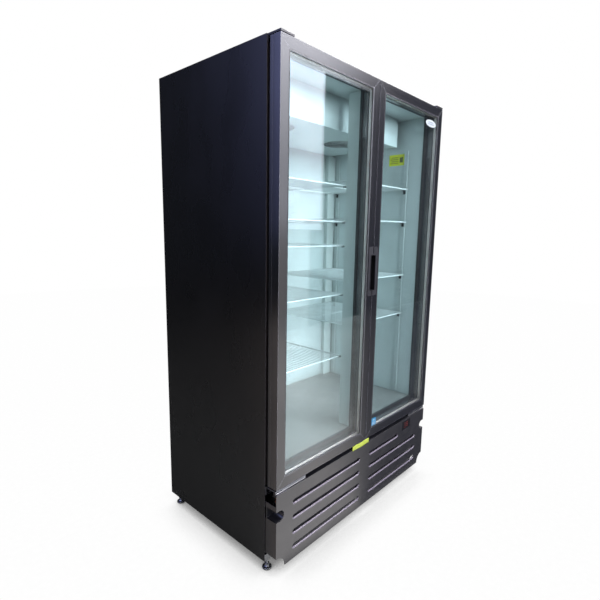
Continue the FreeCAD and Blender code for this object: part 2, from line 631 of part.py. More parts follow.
def condenser():
    """The condenser coil, its shroud, and the fan that draws room air through it."""
    tall = ("coil_low", "coil_high")
    parts = []
    for row in range(8):
        start = ("coil_from", "coil_front + coil_deep / 2",
                 f"coil_low + coil_tube_first + {row} * coil_tube_pitch")
        parts.append(rod(f"coil_tube_{row}", "x", start, "coil_to - coil_from", "tube_radius"))
    count = int(number("(coil_to - coil_from - 2 * fin_edge) / fin_pitch"))
    for index in range(count + 1):
        start = f"coil_from + fin_edge + {index} * fin_pitch"
        parts.append(block(f"coil_fin_{index}", (start, f"{start} + fin_thick"),
                           ("coil_front", "coil_front + coil_deep"), tall))
    subpart(fuse("coil", parts), "condenser_coil")
    face = "coil_front + coil_deep + seam"
    outside = block("shroud_outside", ("coil_from", "coil_to"), (face, f"{face} + shroud_deep"), tall)
    inside = block("shroud_inside", ("coil_from + shroud_wall", "coil_to - shroud_wall"),
                   (f"{face} - cutter", f"{face} + shroud_deep - shroud_wall"),
                   ("coil_low + shroud_wall", "coil_high - shroud_wall"))
    hole = rod("shroud_hole", "y", ("condenser_x", f"{face} + shroud_deep - cutter", "condenser_z"),
               "2 * cutter", "shroud_ring")
    subpart(cut("shroud", outside, [inside, hole]), "condenser_shroud")
    rotor = fan_rotor("condenser_rotor", "condenser_fan", "condenser_hub", "condenser_hub_half")
    rotor.Placement = Placement(Vector(), Rotation(Vector(1, 0, 0), -90))
    subpart(put(rotor, "condenser_x", f"{face} + rotor_set", "condenser_z"), "condenser_fan")
    subpart(condenser_motor(face), "condenser_motor")


def condenser_motor(face):
    """The fan motor behind the rotor, on a bracket that stands on the shroud."""
    x = "condenser_x"
    z = "condenser_z"
    high = (f"{z} - motor_arm_high", f"{z} + motor_arm_high")
    arm = ("motor_arm_half", "motor_arm_half - motor_arm_thick")
    rear = f"{face} + motor_arm_set + motor_arm_thick"
    parts = [
        rod("fan_can", "y", (x, f"{face} + motor_set", z), "motor_long", "motor_radius"),
        rod("fan_pin", "y", (x, f"{face} + motor_pin_set", z), "motor_pin_long", "pin_radius"),
        block("fan_arm", (f"{x} - {arm[0]}", f"{x} + {arm[0]}"), (f"{face} + motor_arm_set", rear),
              high),
        block("fan_leg_a", (f"{x} - {arm[0]}", f"{x} - ({arm[1]})"), (f"{face} + shroud_deep", rear),
              high),
        block("fan_leg_b", (f"{x} + {arm[1]}", f"{x} + {arm[0]}"), (f"{face} + shroud_deep", rear),
              high),
    ]
    return fuse("fan_motor", parts)


def pipe(name, points, radius, bend):
    """A tube along straight runs joined by tangent arcs."""
    corners = [Vector(*(number(text) for text in point)) for point in points]
    edges = []
    start = corners[0]
    for before, corner, after in zip(corners, corners[1:], corners[2:]):
        inward = (before - corner).normalize()
        outward = (after - corner).normalize()
        half = inward.getAngle(outward) / 2
        reach = number(bend) / math.tan(half)
        middle = (inward + outward).normalize()
        centre = corner + middle * (number(bend) / math.sin(half))
        first = corner + inward * reach
        last = corner + outward * reach
        edges.append(Part.makeLine(start, first))
        edges.append(Part.Arc(first, centre - middle * number(bend), last).toShape())
        start = last
    edges.append(Part.makeLine(start, corners[-1]))
    path = Part.Wire(edges)
    heading = (corners[1] - corners[0]).normalize()
    ring = Part.Wire(Part.makeCircle(number(radius), corners[0], heading))
    item = doc.addObject("Part::Feature", name)
    item.Shape = path.makePipeShell([ring], True, False)
    return item


def pipework():
    """The copper lines between compressor, condenser, drier and evaporator."""
    x = "compressor_x"
    y = "compressor_y"
    back = f"{y} + 30"
    column = "coil_front + coil_deep / 2"
    low = "coil_low + coil_tube_first"
    up = "deck - 2"
    coil_end = "coil_to + 1"
    lines = [
        pipe("discharge", [(x, back, "dome_top"), (x, back, "discharge_high"),
                           ("discharge_x", back, "discharge_high"),
                           ("discharge_x", column, "discharge_high"),
                           (coil_end, column, "discharge_high")], "pipe_middle", "bend_middle"),
        pipe("liquid", [(coil_end, column, low), ("0", column, low), ("0", "drier_y", low),
                        ("0", "drier_y", "drier_low - drier_end_gap")], "pipe_middle", "bend_tight"),
        pipe("suction", [(f"{x} + 40", y, "dome_top - 2"), (f"{x} + 40", y, "suction_high"),
                         ("suction_x", y, "suction_high"), ("suction_x", y, up)],
             "pipe_thick", "bend_wide"),
        pipe("feed", [("0", "drier_y", "drier_high + drier_end_gap"), ("0", "drier_y", "feed_high"),
                      ("0", "feed_y", "feed_high"), ("feed_x", "feed_y", "feed_high"),
                      ("feed_x", "feed_y", up)], "pipe_thin", "bend_tight"),
    ]
    subpart(group("lines", lines), "refrigerant_lines")


def drier():
    """The filter drier: a fat can with a thin neck at each end."""
    neck = "drier_neck + 1"
    can = rod("drier_can", "z", ("0", "drier_y", "drier_low + drier_neck"),
              "drier_high - drier_low - 2 * drier_neck", "drier_radius")
    ends = [rod(f"drier_neck_{name}", "z", ("0", "drier_y", start), neck, "drier_neck_radius")
            for name, start in (("in", "drier_low"), ("out", f"drier_high - ({neck})"))]
    subpart(fuse("drier_body", [can] + ends), "filter_drier")


def tray():
    """The tray that catches the drain water, on two legs."""
    x = ("tray_from", "tray_to")
    y = ("tray_front", "tray_rear")
    outside = block("tray_outside", x, y, ("tray_low", "tray_high"))
    inside = block("tray_inside", ("tray_from + tray_wall", "tray_to - tray_wall"),
                   ("tray_front + tray_wall", "tray_rear - tray_wall"),
                   ("tray_low + tray_wall", "tray_high + cutter"))
    leg_deep = ("tray_front + tray_leg_inset", "tray_rear - tray_leg_inset")
    legs = [block(f"tray_leg_{name}", span, leg_deep, ("bottom + pan_thick", "tray_low + 1"))
            for name, span in (
                ("a", ("tray_from + tray_leg_inset", "tray_from + tray_leg_inset + tray_leg")),
                ("b", ("tray_to - tray_leg_inset - tray_leg", "tray_to - tray_leg_inset")))]
    subpart(fuse("tray", [cut("tray_cup", outside, [inside])] + legs), "condensate_tray")


def electrics():
    """The electrical box with its lid, and the stand that holds the gland of the power cord."""
    box = block("box_blank", ("box_from", "box_to"), ("box_front", "box_rear"),
                ("bottom + pan_thick", "box_high"))
    lid = block("box_lid_plate", ("box_from - box_over", "box_to + box_over"),
                ("box_front - box_over", "box_rear + box_over"), ("box_high", "box_high + box_lid"))
    subpart(fuse("box", [box, lid]), "electrical_box")
    across = ("inlet_x - inlet_half", "inlet_x + inlet_half")
    front = "back - inlet_set"
    rear = f"{front} + inlet_plate"
    base = "bottom + pan_thick"
    parts = [
        block("inlet_face", across, (front, rear), ("inlet_low", "inlet_high")),
        block("inlet_stay", across, ("back - inlet_foot", rear), (base, f"{base} + inlet_plate")),
        block("inlet_neck", across, (front, rear), (base, "inlet_low + 1")),
        rod("inlet_nut", "y", ("inlet_x", "back - gland_set", "inlet_z"), "gland_long",
            "gland_radius"),
    ]
    bore = rod("inlet_bore", "y", ("inlet_x", "back - gland_set - cutter", "inlet_z"),
               "gland_long + 2 * cutter", "gland_bore")
    subpart(cut("inlet", fuse("inlet_body", parts), [bore]), "power_inlet")


def feet():
    """Four screwed levelling feet."""
    nut = "stem_radius + nut_over"
    nut_low = "foot_high + nut_rise"
    nut_top = f"{nut_low} + nut_high"
    for word, (x, y) in FEET.items():
        foot = revolved(f"foot_{word}", [
            ("0", "0"), ("foot_radius - foot_bevel", "0"), ("foot_radius", "foot_bevel"),
            ("foot_radius", "foot_high"), (nut, nut_low), (nut, nut_top), ("stem_radius", nut_top),
            ("stem_radius", "stem_top"), ("0", "stem_top")])
        subpart(put(foot, x, y, "0"), f"levelling_foot_{word}")


# ---------------------------------------------------------------- doors

def rail(name, length):
    """A mitred hollow rail along +X: outer edge on Z = 0, front on Y = 0, glass side up."""
    body = doc.addObject("PartDesign::Body", name)
    section = new_sketch(body, "YZ_Plane", name + "_section")
    wall = "rail_wall"
    inner = "rail_wide"
    polygon(section, [("0", "0"), ("0", inner), ("glass_front", inner),
                      ("glass_front", "glass_pocket"), ("glass_back", "glass_pocket"),
                      ("glass_back", inner), ("door_deep", inner), ("door_deep", "0")])
    polygon(section, [(wall, wall), (wall, f"glass_pocket - {wall}"),
                      (f"glass_back + {wall}", f"glass_pocket - {wall}"),
                      (f"glass_back + {wall}", f"{inner} - {wall}"),
                      (f"door_deep - {wall}", f"{inner} - {wall}"), (f"door_deep - {wall}", wall)])
    pad(body, section, name + "_extrusion", length)
    doc.recompute()
    mitre = new_sketch(body, "XZ_Plane", name + "_mitre")
    over = "mitre_over"
    rise = f"{inner} + {over}"
    polygon(mitre, [(f"mitre_gap - {over}", f"-{over}"), (f"mitre_gap + {rise}", rise),
                    (f"-2 * {over}", rise), (f"-2 * {over}", f"-{over}")])
    polygon(mitre, [(f"{length} - mitre_gap + {over}", f"-{over}"),
                    (f"{length} + 2 * {over}", f"-{over}"), (f"{length} + 2 * {over}", rise),
                    (f"{length} - mitre_gap - ({rise})", rise)])
    through_pocket(body, mitre, name + "_ends")
    return body


def door_frame(word, side):
    """Four mitred rails, with the hinge pins' holes and the cut-out for the grip."""
    wide = "(door_side - door_gap)"
    tall = "(door_high - door_low)"
    left = flip(("-door_side", "-door_gap"), side)[0]
    right = flip(("-door_side", "-door_gap"), side)[1]
    places = (
        ("low", wide, left, "door_low", 0),
        ("high", wide, right, "door_high", 180),
        ("rising", tall, right, "door_low", -90),
        ("falling", tall, left, "door_high", 90),
    )
    rails = {}
    for name, length, x, z, turn in places:
        item = rail(f"rail_{name}_{word}", length)
        item.Placement = Placement(Vector(), Rotation(Vector(0, 1, 0), turn))
        rails[name] = put(item, x, "door_face", z)
    pin = rod(f"pin_hole_{word}", "z", (f"{side} * hinge_side", "hinge_line", "door_low - cutter"),
              f"{tall} + 2 * cutter", "pin_radius + running_fit")
    low = cut(f"low_rail_{word}", rails["low"], [pin])
    high = cut(f"high_rail_{word}", rails["high"], [pin])
    latch_name = "rising" if side < 0 else "falling"
    hinge_name = "falling" if side < 0 else "rising"
    cup = block(f"cup_hole_{word}", flip(("-door_gap - cup_wide - cup_play", "-door_gap + 1"), side),
                ("door_face - 1", "door_face + cup_deep + cup_play"),
                ("cup_low - cup_play", "cup_high + cup_play"))
    latch = cut(f"latch_stile_{word}", rails[latch_name], [cup])
    subpart(group(f"frame_{word}", [low, high, latch, rails[hinge_name]]), f"door_frame_{word}")


def door_glass(word, side):
    """The sealed unit of two panes and the spacer between them."""
    edge = "glass_pocket + glass_play"
    x = flip((f"-door_side + {edge}", f"-door_gap - ({edge})"), side)
    z = (f"door_low + {edge}", f"door_high - ({edge})")
    start = "door_face + glass_front + glass_play"
    end = "door_face + glass_back - glass_play"
    subpart(block(f"pane_front_{word}", x, (start, f"{start} + glass_thick"), z),
            f"outer_glass_{word}")
    subpart(block(f"pane_rear_{word}", x, (f"{end} - glass_thick", end), z),
            f"inner_glass_{word}")
    deep = (f"{start} + glass_thick", f"{end} - glass_thick")
    uprights = [
        block(f"spacer_a_{word}", (x[0], f"{x[0]} + spacer_wide"), deep, z),
        block(f"spacer_b_{word}", (f"{x[1]} - spacer_wide", x[1]), deep, z),
    ]
    between = (f"{x[0]} + spacer_wide + seam", f"{x[1]} - spacer_wide - seam")
    levels = [
        block(f"spacer_c_{word}", between, deep, (z[0], f"{z[0]} + spacer_wide")),
        block(f"spacer_d_{word}", between, deep, (f"{z[1]} - spacer_wide", z[1])),
    ]
    subpart(group(f"spacer_{word}", uprights + levels), f"glass_spacer_{word}")


def door_gasket(word, side):
    """The magnetic gasket on the back of the door, as its four strips."""
    deep = ("door_face + door_deep", "door_face + door_deep + gasket_deep")
    x = flip(("-door_side + gasket_inset", "-door_gap - gasket_free"), side)
    z = ("door_low + gasket_low", "door_high - gasket_inset")
    strips = [
        block(f"gasket_a_{word}", (x[0], f"{x[0]} + gasket_wide"), deep, z),
        block(f"gasket_b_{word}", (f"{x[1]} - gasket_wide", x[1]), deep, z),
    ]
    between = (f"{x[0]} + gasket_wide + seam", f"{x[1]} - gasket_wide - seam")
    strips += [
        block(f"gasket_c_{word}", between, deep, (z[0], f"{z[0]} + gasket_wide")),
        block(f"gasket_d_{word}", between, deep, (f"{z[1]} - gasket_wide", z[1])),
    ]
    subpart(group(f"gasket_{word}", strips), f"door_gasket_{word}")


def door_grip(word, side):
    """The moulded finger cup in the free stile: a flange, and a cup that reaches behind it."""
    free = "-door_gap"
    flange = block(f"grip_flange_{word}", flip((f"{free} - flange_wide", free), side),
                   ("door_face - flange_thick", "door_face"), ("handle_low", "handle_high"))
    corner = lambda edge: (edge.BoundBox.YLength < 5 and edge.BoundBox.XLength < 0.01
                           and edge.BoundBox.ZLength < 0.01 and abs(edge.CenterOfMass.x) > 20)
    plate = round_edges(f"grip_plate_{word}", flange, "flange_round", corner)
    cup = block(f"grip_cup_{word}", flip((f"{free} - cup_wide", free), side),
                ("door_face", "door_face + cup_deep"), ("cup_low", "cup_high"))
    tall = ("cup_low + cup_wall", "cup_high - cup_wall")
    hollow = block(f"grip_hollow_{word}", flip((f"{free} - cup_wide + cup_wall", f"{free} + 1"), side),
                   ("door_face + cup_wall", "door_face + cup_deep - cup_wall"), tall)
    mouth = block(f"grip_mouth_{word}", flip((f"{free} - grip_mouth", f"{free} + 1"), side),
                  ("door_face - cup_wall", "door_face + 2 * cup_wall"), tall)
    solid = fuse(f"grip_solid_{word}", [plate, cup])
    subpart(cut(f"grip_{word}", solid, [hollow, mouth]), f"handle_grip_{word}")


def hinges():
    """Top plates with their pins, bottom plates, and the cartridges that close the doors."""
    tops = []
    lows = []
    cartridges = []
    for word, side in SIDES.items():
        x = flip(("-door_side", "-hinge_inner"), side)
        axis = (f"{side} * hinge_side", "hinge_line")
        leg = ("front - hinge_plate", "front")
        tops.append(top_hinge(word, x, axis, leg))
        lows.append(low_hinge(word, side, x, axis, leg))
        cartridges.append(fuse(f"cartridge_{word}", [
            rod(f"cartridge_can_{word}", "z", axis + ("door_low - cartridge_drop",),
                "cartridge_high", "cartridge_radius"),
            rod(f"cartridge_neck_{word}", "z", axis + ("door_low - cutter",),
                "cutter / 2", "neck_radius"),
            rod(f"cartridge_bush_{word}", "z", axis + ("door_low - low_plate_gap",), "bush_high",
                "bush_radius"),
            rod(f"cartridge_pin_{word}", "z", axis + ("door_low - low_plate_gap",),
                "pin_sink + 2", "pin_radius"),
        ]))
    subpart(group("top_pair", tops), "top_hinges")
    subpart(group("low_pair", lows), "bottom_hinges")
    subpart(group("cartridge_pair", cartridges), "hinge_cartridges")


def top_hinge(word, x, axis, leg):
    """A plate over the door's corner, screwed to the cabinet's front, with its pin."""
    low = "door_high + top_plate_gap"
    high = f"{low} + hinge_plate"
    return fuse(f"top_hinge_{word}", [
        block(f"top_plate_{word}", x, ("door_face + hinge_plate", "front"), (low, high)),
        block(f"top_leg_{word}", x, leg, (f"{high} - hinge_leg", high)),
        rod(f"top_pin_{word}", "z", axis + ("door_high - pin_sink",),
            f"{low} + 1 - door_high + pin_sink", "pin_radius"),
        rod(f"top_head_{word}", "z", axis + (f"{high} - 0.5",), "pin_head_high", "pin_head_radius"),
    ])


def low_hinge(word, side, x, axis, leg):
    """A plate under the door's corner with a holed lip at its front edge."""
    high = "door_low - low_plate_gap"
    wide = flip(("-door_side", "-low_plate_inner"), side)
    plate = block(f"low_plate_{word}", wide, ("door_face + lip_inset", "front"),
                  (f"{high} - hinge_plate", high))
    lip = block(f"low_lip_{word}", wide, ("door_face + lip_inset", "door_face + lip_inset + hinge_plate"),
                ("door_low - low_lip_drop", high))
    back_leg = block(f"low_leg_{word}", x, leg, ("door_low - low_leg_drop", high))
    tools = [rod(f"low_through_{word}", "z", axis + (f"{high} - cutter",), "2 * cutter",
                 "neck_radius")]
    for index in range(2):
        hole_x = f"{side} * (hinge_side - lip_hole_side - {index} * lip_hole_pitch)"
        tools.append(rod(f"low_hole_{word}_{index}", "y",
                         (hole_x, "door_face", "door_low - lip_hole_drop"), "cutter",
                         "lip_hole_radius"))
    return cut(f"low_hinge_{word}", fuse(f"low_blank_{word}", [plate, lip, back_leg]), tools)


# ---------------------------------------------------------------- grille

def grille_slots():
    """The round-ended louvre slots of both halves, with the short one under the display."""
    tools = []
    vanes = []
    radius = "slot_high / 2"
    for word, side in SIDES.items():
        for row in range(4):
            outer = "slot_short" if side > 0 and row == 3 else "slot_out"
            low = f"slot_first + {row} * slot_pitch"
            x = flip((f"-({outer})", "-slot_in"), side)
            centre_z = f"{low} + {radius}"
            deep = ("door_face - cutter / 2", "door_face + grille_thick + cutter / 2")
            inner = (f"{x[0]} + {radius}", f"{x[1]} - {radius}")
            name = f"{word}_{row}"
            tools.append(fuse(f"slot_{name}", [
                block(f"slot_bar_{name}", inner, deep, (low, f"{low} + slot_high")),
                rod(f"slot_a_{name}", "y", (inner[0], deep[0], centre_z), "cutter", radius),
                rod(f"slot_b_{name}", "y", (inner[1], deep[0], centre_z), "cutter", radius),
            ]))
            vanes.append(louvre_vane(name, inner, low))
    return tools, vanes


def louvre_vane(name, span, low):
    """A vane that leans in from the slot's upper edge to below its lower edge."""
    rise = number("slot_high + vane_over + vane_drop")
    lean = math.degrees(math.atan2(number("vane_lean"), rise))
    vane = doc.addObject("Part::Box", f"vane_{name}")
    vane.setExpression("Length", bound(f"({span[1]}) - ({span[0]}) + 2 * vane_inset - slot_high"))
    vane.setExpression("Width", bound("vane_thick"))
    vane.Height = math.hypot(number("vane_lean"), rise)
    vane.Placement = Placement(Vector(), Rotation(Vector(1, 0, 0), lean))
    foot_y = "door_face + vane_root + vane_lean"
    return put(vane, f"{span[0]} - vane_inset + slot_high / 2", foot_y, f"{low} - vane_drop")


def grille():
    """The moulded front cover of the machine compartment, with returns, notches and louvres."""
    face = ("door_face", "door_face + grille_thick")
    deep = ("door_face", "front - grille_gap")
    tall = ("grille_low", "grille_high")
    pieces = [block("grille_face", ("-door_side", "door_side"), face, tall)]
    cuts = []
    for word, side in SIDES.items():
        edge = flip(("-door_side", "-door_side + grille_thick"), side)
        pieces.append(block(f"return_{word}", edge, deep, ("grille_low + corner_cut", "notch_low")))
        pieces.append(block(f"bridge_{word}", edge, deep, ("bridge_low", "bridge_high")))
        corner = f"{side} * door_side"
        cuts.append(rod(f"corner_front_{word}", "y", (corner, "door_face - cutter / 2", "grille_low"),
                        "cutter", "corner_cut"))
        half = "(notch_high - notch_low) / 2"
        reach = flip(("-door_side - cutter", f"-door_side + notch_deep - {half}"), side)
        cuts.append(block(f"notch_bar_{word}", reach, ("door_face - cutter", "front"),
                          ("notch_low", "notch_high")))
        centre = f"{side} * (door_side - notch_deep + {half})"
        cuts.append(rod(f"notch_end_{word}", "y",
                        (centre, "door_face - cutter", f"notch_low + {half}"),
                        "front - door_face + cutter", half))
    pieces.append(block("grille_lip", ("-hinge_inner + top_lip_inset", "hinge_inner - top_lip_inset"),
                        ("door_face", "door_face + top_lip_deep"),
                        ("grille_high - grille_thick", "grille_high")))
    cuts.append(block("display_hole", ("display_from", "display_to"),
                      ("door_face - cutter / 2", "door_face + cutter"),
                      ("display_low", "display_high")))
    slots, vanes = grille_slots()
    shell = cut("grille_shell", fuse("grille_blank", pieces), cuts + slots)
    subpart(fuse("grille", [shell] + vanes), "front_grille")


def display():
    """The control's small display, flush in the grille."""
    x = ("display_from + display_play", "display_to - display_play")
    z = ("display_low + display_play", "display_high - display_play")
    case = block("display_case", x, ("door_face - display_proud", "door_face + display_deep"), z)
    window = block("display_window", ("display_from + display_rim", "display_to - display_rim"),
                   ("door_face - cutter", "door_face + display_sink"),
                   ("display_low + display_rim", "display_high - display_rim"))
    rounded = round_edges("display_round", case, "rim_radius", lambda edge:
                          edge.BoundBox.YLength > 20)
    subpart(cut("display_body", rounded, [window]), "control_display")


def screws():
    """Pan head screws of the hinge plates and the back panel."""
    heads = []
    plate = "front - hinge_plate"
    for word, side in SIDES.items():
        for index in range(2):
            x = f"{side} * (hinge_inner + screw_side + {index} * screw_pitch)"
            heads.append(screw(f"top_{word}_{index}", x, plate, "door_high - screw_top_drop",
                               "screw_low"))
            heads.append(screw(f"low_{word}_{index}", x, plate, "door_low - screw_low_drop",
                               "screw_tall"))
        for row in range(4):
            place = (f"{side} * back_screw_x", "back - back_inset",
                     f"back_screw_low + {row} * back_screw_pitch")
            heads.append(rod(f"screw_back_{word}_{row}", "y", place, "screw_back", "screw_radius"))
    subpart(group("screw_set", heads), "cabinet_screws")


def screw(name, x, face, z, proud):
    """A round head that stands proud of a face towards the front by the given height."""
    return rod(f"screw_{name}", "y", (x, f"{face} - {proud}", z), proud, "screw_radius")


outer_panels()
insulation()
liner()
front_face()
lamps()
standards()
shelves()
cooler()
drain()
base_frame()
compressor()
condenser()
pipework()
drier()
tray()
electrics()
feet()
for side_word, side_sign in SIDES.items():
    door_frame(side_word, side_sign)
    door_glass(side_word, side_sign)
    door_gasket(side_word, side_sign)
    door_grip(side_word, side_sign)
hinges()
grille()
display()
screws()
doc.recompute()

for item in doc.Objects:
    if "Invalid" in item.State or "Error" in item.State:
        raise RuntimeError(f"{item.Name} failed: {item.State}")
labels = [item.Label for item in SUBPARTS]
if len(set(labels)) != len(labels) or len(labels) > 60:
    raise RuntimeError(f"{len(labels)} sub-parts with {len(set(labels))} labels")
for item in SUBPARTS:
    if item.Shape.isNull() or not item.Shape.isValid():
        raise RuntimeError(f"{item.Label} has no valid shape")
os.makedirs("parts", exist_ok=True)
for item in SUBPARTS:
    item.Shape.exportStep(f"parts/{item.Label}.step")
print(f"{len(SUBPARTS)} sub-parts written")
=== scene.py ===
"""Glass door merchandiser: finishes, fine pieces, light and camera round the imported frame."""

import json
import math
import random

import bmesh
import bpy
from mathutils import Matrix, Vector


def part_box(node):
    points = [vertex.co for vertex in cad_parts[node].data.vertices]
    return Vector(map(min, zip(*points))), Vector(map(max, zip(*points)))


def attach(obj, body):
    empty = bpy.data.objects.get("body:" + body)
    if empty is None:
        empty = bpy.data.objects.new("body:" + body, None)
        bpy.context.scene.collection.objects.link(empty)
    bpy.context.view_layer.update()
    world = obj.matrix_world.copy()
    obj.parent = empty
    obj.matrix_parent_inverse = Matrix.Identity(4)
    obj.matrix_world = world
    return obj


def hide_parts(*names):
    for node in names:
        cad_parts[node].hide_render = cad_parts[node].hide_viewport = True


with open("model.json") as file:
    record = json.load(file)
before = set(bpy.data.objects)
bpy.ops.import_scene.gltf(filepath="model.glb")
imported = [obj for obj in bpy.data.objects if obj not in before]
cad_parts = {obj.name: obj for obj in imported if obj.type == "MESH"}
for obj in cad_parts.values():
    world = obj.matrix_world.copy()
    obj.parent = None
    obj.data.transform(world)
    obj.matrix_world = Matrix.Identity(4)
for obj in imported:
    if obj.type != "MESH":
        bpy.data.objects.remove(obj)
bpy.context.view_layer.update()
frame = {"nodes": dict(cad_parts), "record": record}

MM = 0.001


# ---------------------------------------------------------------- colour and shader nodes

def srgb(red, green, blue):
    """A screen colour, 0 to 255, as the linear colour that shaders take."""
    def linear(value):
        value /= 255
        return value / 12.92 if value <= 0.04045 else ((value + 0.055) / 1.055) ** 2.4

    return (linear(red), linear(green), linear(blue), 1.0)


class Surface:
    """A material under construction. Its textures are laid out in the row frame, in metres."""

    def __init__(self, name):
        self.material = bpy.data.materials.new(name)
        self.material.use_nodes = True
        self.tree = self.material.node_tree
        self.shader = self.tree.nodes["Principled BSDF"]
        self.output = self.tree.nodes["Material Output"]
        self.place = self.node("TexCoord").outputs["Object"]
        self.normal = None

    def node(self, kind, inputs=None, **settings):
        """A new shader node. Inputs are values or sockets, by name or by number."""
        made = self.tree.nodes.new("ShaderNode" + kind)
        for name, value in settings.items():
            setattr(made, name, value)
        for name, value in (inputs or {}).items():
            self.feed(made.inputs[name], value)
        return made

    def feed(self, socket, value):
        """Gives an input its value: a number, a colour or another node's output."""
        if isinstance(value, bpy.types.NodeSocket):
            self.tree.links.new(value, socket)
        else:
            socket.default_value = value

    def stretched(self, stretch):
        """The place with each axis scaled, so that a texture runs along one of them."""
        return self.node("Mapping", {"Vector": self.place, "Scale": stretch}).outputs["Vector"]

    def noise(self, scale, detail, stretch=None):
        where = self.stretched(stretch) if stretch else self.place
        inputs = {"Vector": where, "Scale": scale, "Detail": detail}
        return self.node("TexNoise", inputs).outputs["Fac"]

    def cells(self, scale):
        """The distance to the nearest of many scattered points."""
        return self.node("TexVoronoi", {"Vector": self.place, "Scale": scale}).outputs["Distance"]

    def remap(self, value, low, high, to_low=0.0, to_high=1.0, smooth=False):
        inputs = {"Value": value, "From Min": low, "From Max": high,
                  "To Min": to_low, "To Max": to_high}
        style = "SMOOTHSTEP" if smooth else "LINEAR"
        return self.node("MapRange", inputs, interpolation_type=style).outputs["Result"]

    def maths(self, operation, first, second):
        return self.node("Math", {0: first, 1: second}, operation=operation).outputs["Value"]

    def mix(self, factor, first, second):
        """A colour between two colours."""
        made = self.node("Mix", {0: factor, 6: first, 7: second}, data_type="RGBA", clamp_factor=True)
        return made.outputs[2]

    def over(self, base, mask, share, colour):
        """Lays a share of a colour over the base where the mask is 1."""
        return self.mix(self.maths("MULTIPLY", mask, share), base, colour)

    def bump(self, height, depth):
        """Raises the surface by height times depth metres, on top of any bump it already has."""
        inputs = {"Height": height, "Distance": depth}
        if self.normal:
            inputs["Normal"] = self.normal
        self.normal = self.node("Bump", inputs).outputs["Normal"]

    def edges(self, radius):
        """1 along sharp edges and 0 elsewhere."""
        bevelled = self.node("Bevel", {"Radius": radius}, samples=4).outputs["Normal"]
        flat = self.node("NewGeometry").outputs["Normal"]
        along = self.node("VectorMath", {0: bevelled, 1: flat}, operation="DOT_PRODUCT")
        return self.remap(along.outputs["Value"], 0.97, 0.80)

    def set(self, **values):
        """Sets shader inputs; an underscore in a name stands for a space."""
        for name, value in values.items():
            self.feed(self.shader.inputs[name.replace("_", " ")], value)

    def show(self, shader):
        """Shows another shader in place of the usual one."""
        self.tree.links.new(shader, self.output.inputs["Surface"])

    def done(self):
        if self.normal:
            self.tree.links.new(self.normal, self.shader.inputs["Normal"])
        return self.material


# ---------------------------------------------------------------- finishes

FINISHES = {}


def listed(make):
    """Lists a finish under its function's name. A CAD slot takes the finish of its own name."""
    FINISHES[make.__name__] = make
    return make


@listed
def black_enamel(name):
    """Pre-painted black steel: long soft waves in the sheet, orange peel, dust, fine scratches and a
    painted highlight along its sharp edges.
    """
    look = Surface(name)
    cloud = look.noise(2.5, 3.0)
    smear = look.noise(6.0, 4.0, (1.0, 1.0, 0.5))
    specks = look.remap(look.cells(260.0), 0.10, 0.04)
    scratch = look.remap(look.noise(60.0, 1.0, (9.0, 9.0, 0.25)), 0.74, 0.80)
    base = look.mix(cloud, srgb(5, 5, 8), srgb(11, 10, 14))
    base = look.over(base, specks, 0.05, srgb(150, 150, 148))
    base = look.over(base, scratch, 0.03, srgb(95, 95, 104))
    # painted highlight: a lighter blue-grey laid along the sharp edges
    base = look.over(base, look.edges(1.5 * MM), 0.5, srgb(112, 112, 130))
    rough = look.remap(smear, 0.3, 0.75, 0.25, 0.33)
    look.bump(look.noise(3.0, 1.0), 0.8 * MM)
    look.bump(look.noise(700.0, 2.0), 0.01 * MM)
    look.set(Base_Color=base, Roughness=rough)
    return look.done()


def plain_metal(name, dark, light, roughness, grain=(1.0, 1.0, 1.0), spangle=0.0):
    """A bare metal with drawn grain or zinc spangle, a little staining, and edges lightened partly as
    wear and partly as a painted highlight.
    """
    look = Surface(name)
    grainy = look.noise(420.0, 3.0, grain)
    stain = look.noise(14.0, 4.0)
    base = look.over(light, stain, 0.8, dark)
    base = look.over(base, grainy, 0.25, dark)
    if spangle:
        crystals = look.node("TexVoronoi", {"Vector": look.place, "Scale": spangle}).outputs["Color"]
        grey = look.node("RGBToBW", {"Color": crystals}).outputs["Val"]
        base = look.mix(look.remap(grey, 0.2, 0.8, 0.0, 0.45), base, dark)
    # worn edges, lightened further by a painted highlight in near-white
    base = look.over(base, look.edges(0.8 * MM), 0.5, srgb(225, 224, 220))
    rough = look.remap(grainy, 0.25, 0.75, roughness * 0.8, roughness * 1.25)
    look.bump(grainy, 0.03 * MM)
    look.set(Base_Color=base, Roughness=rough, Metallic=1.0)
    return look.done()


@listed
def galvanised(name):
    return plain_metal(name, srgb(140, 143, 146), srgb(186, 188, 190), 0.38, spangle=90.0)


@listed
def zinc(name):
    return plain_metal(name, srgb(88, 91, 98), srgb(136, 139, 148), 0.28, grain=(1.0, 0.2, 1.0))


@listed
def bush_brass(name):
    return plain_metal(name, srgb(150, 112, 48), srgb(214, 170, 86), 0.30, grain=(1.0, 1.0, 0.2))


@listed
def fin_aluminium(name):
    return plain_metal(name, srgb(150, 153, 157), srgb(205, 207, 210), 0.34, grain=(0.2, 1.0, 1.0))


@listed
def spacer_metal(name):
    """Mill-finish aluminium of the strip between the panes."""
    return plain_metal(name, srgb(168, 160, 156), srgb(218, 208, 202), 0.42)


@listed
def copper(name):
    return plain_metal(name, srgb(150, 84, 58), srgb(214, 134, 98), 0.26)


@listed
def foam(name):
    """Cut polyurethane foam: pale ochre with open cells."""
    look = Surface(name)
    cell = look.cells(520.0)
    base = look.mix(look.noise(18.0, 3.0), srgb(208, 186, 134), srgb(232, 215, 168))
    base = look.mix(look.remap(cell, 0.0, 0.5, 0.5, 0.0), base, srgb(168, 142, 92))
    look.bump(cell, 0.6 * MM)
    look.set(Base_Color=base, Roughness=0.92)
    return look.done()


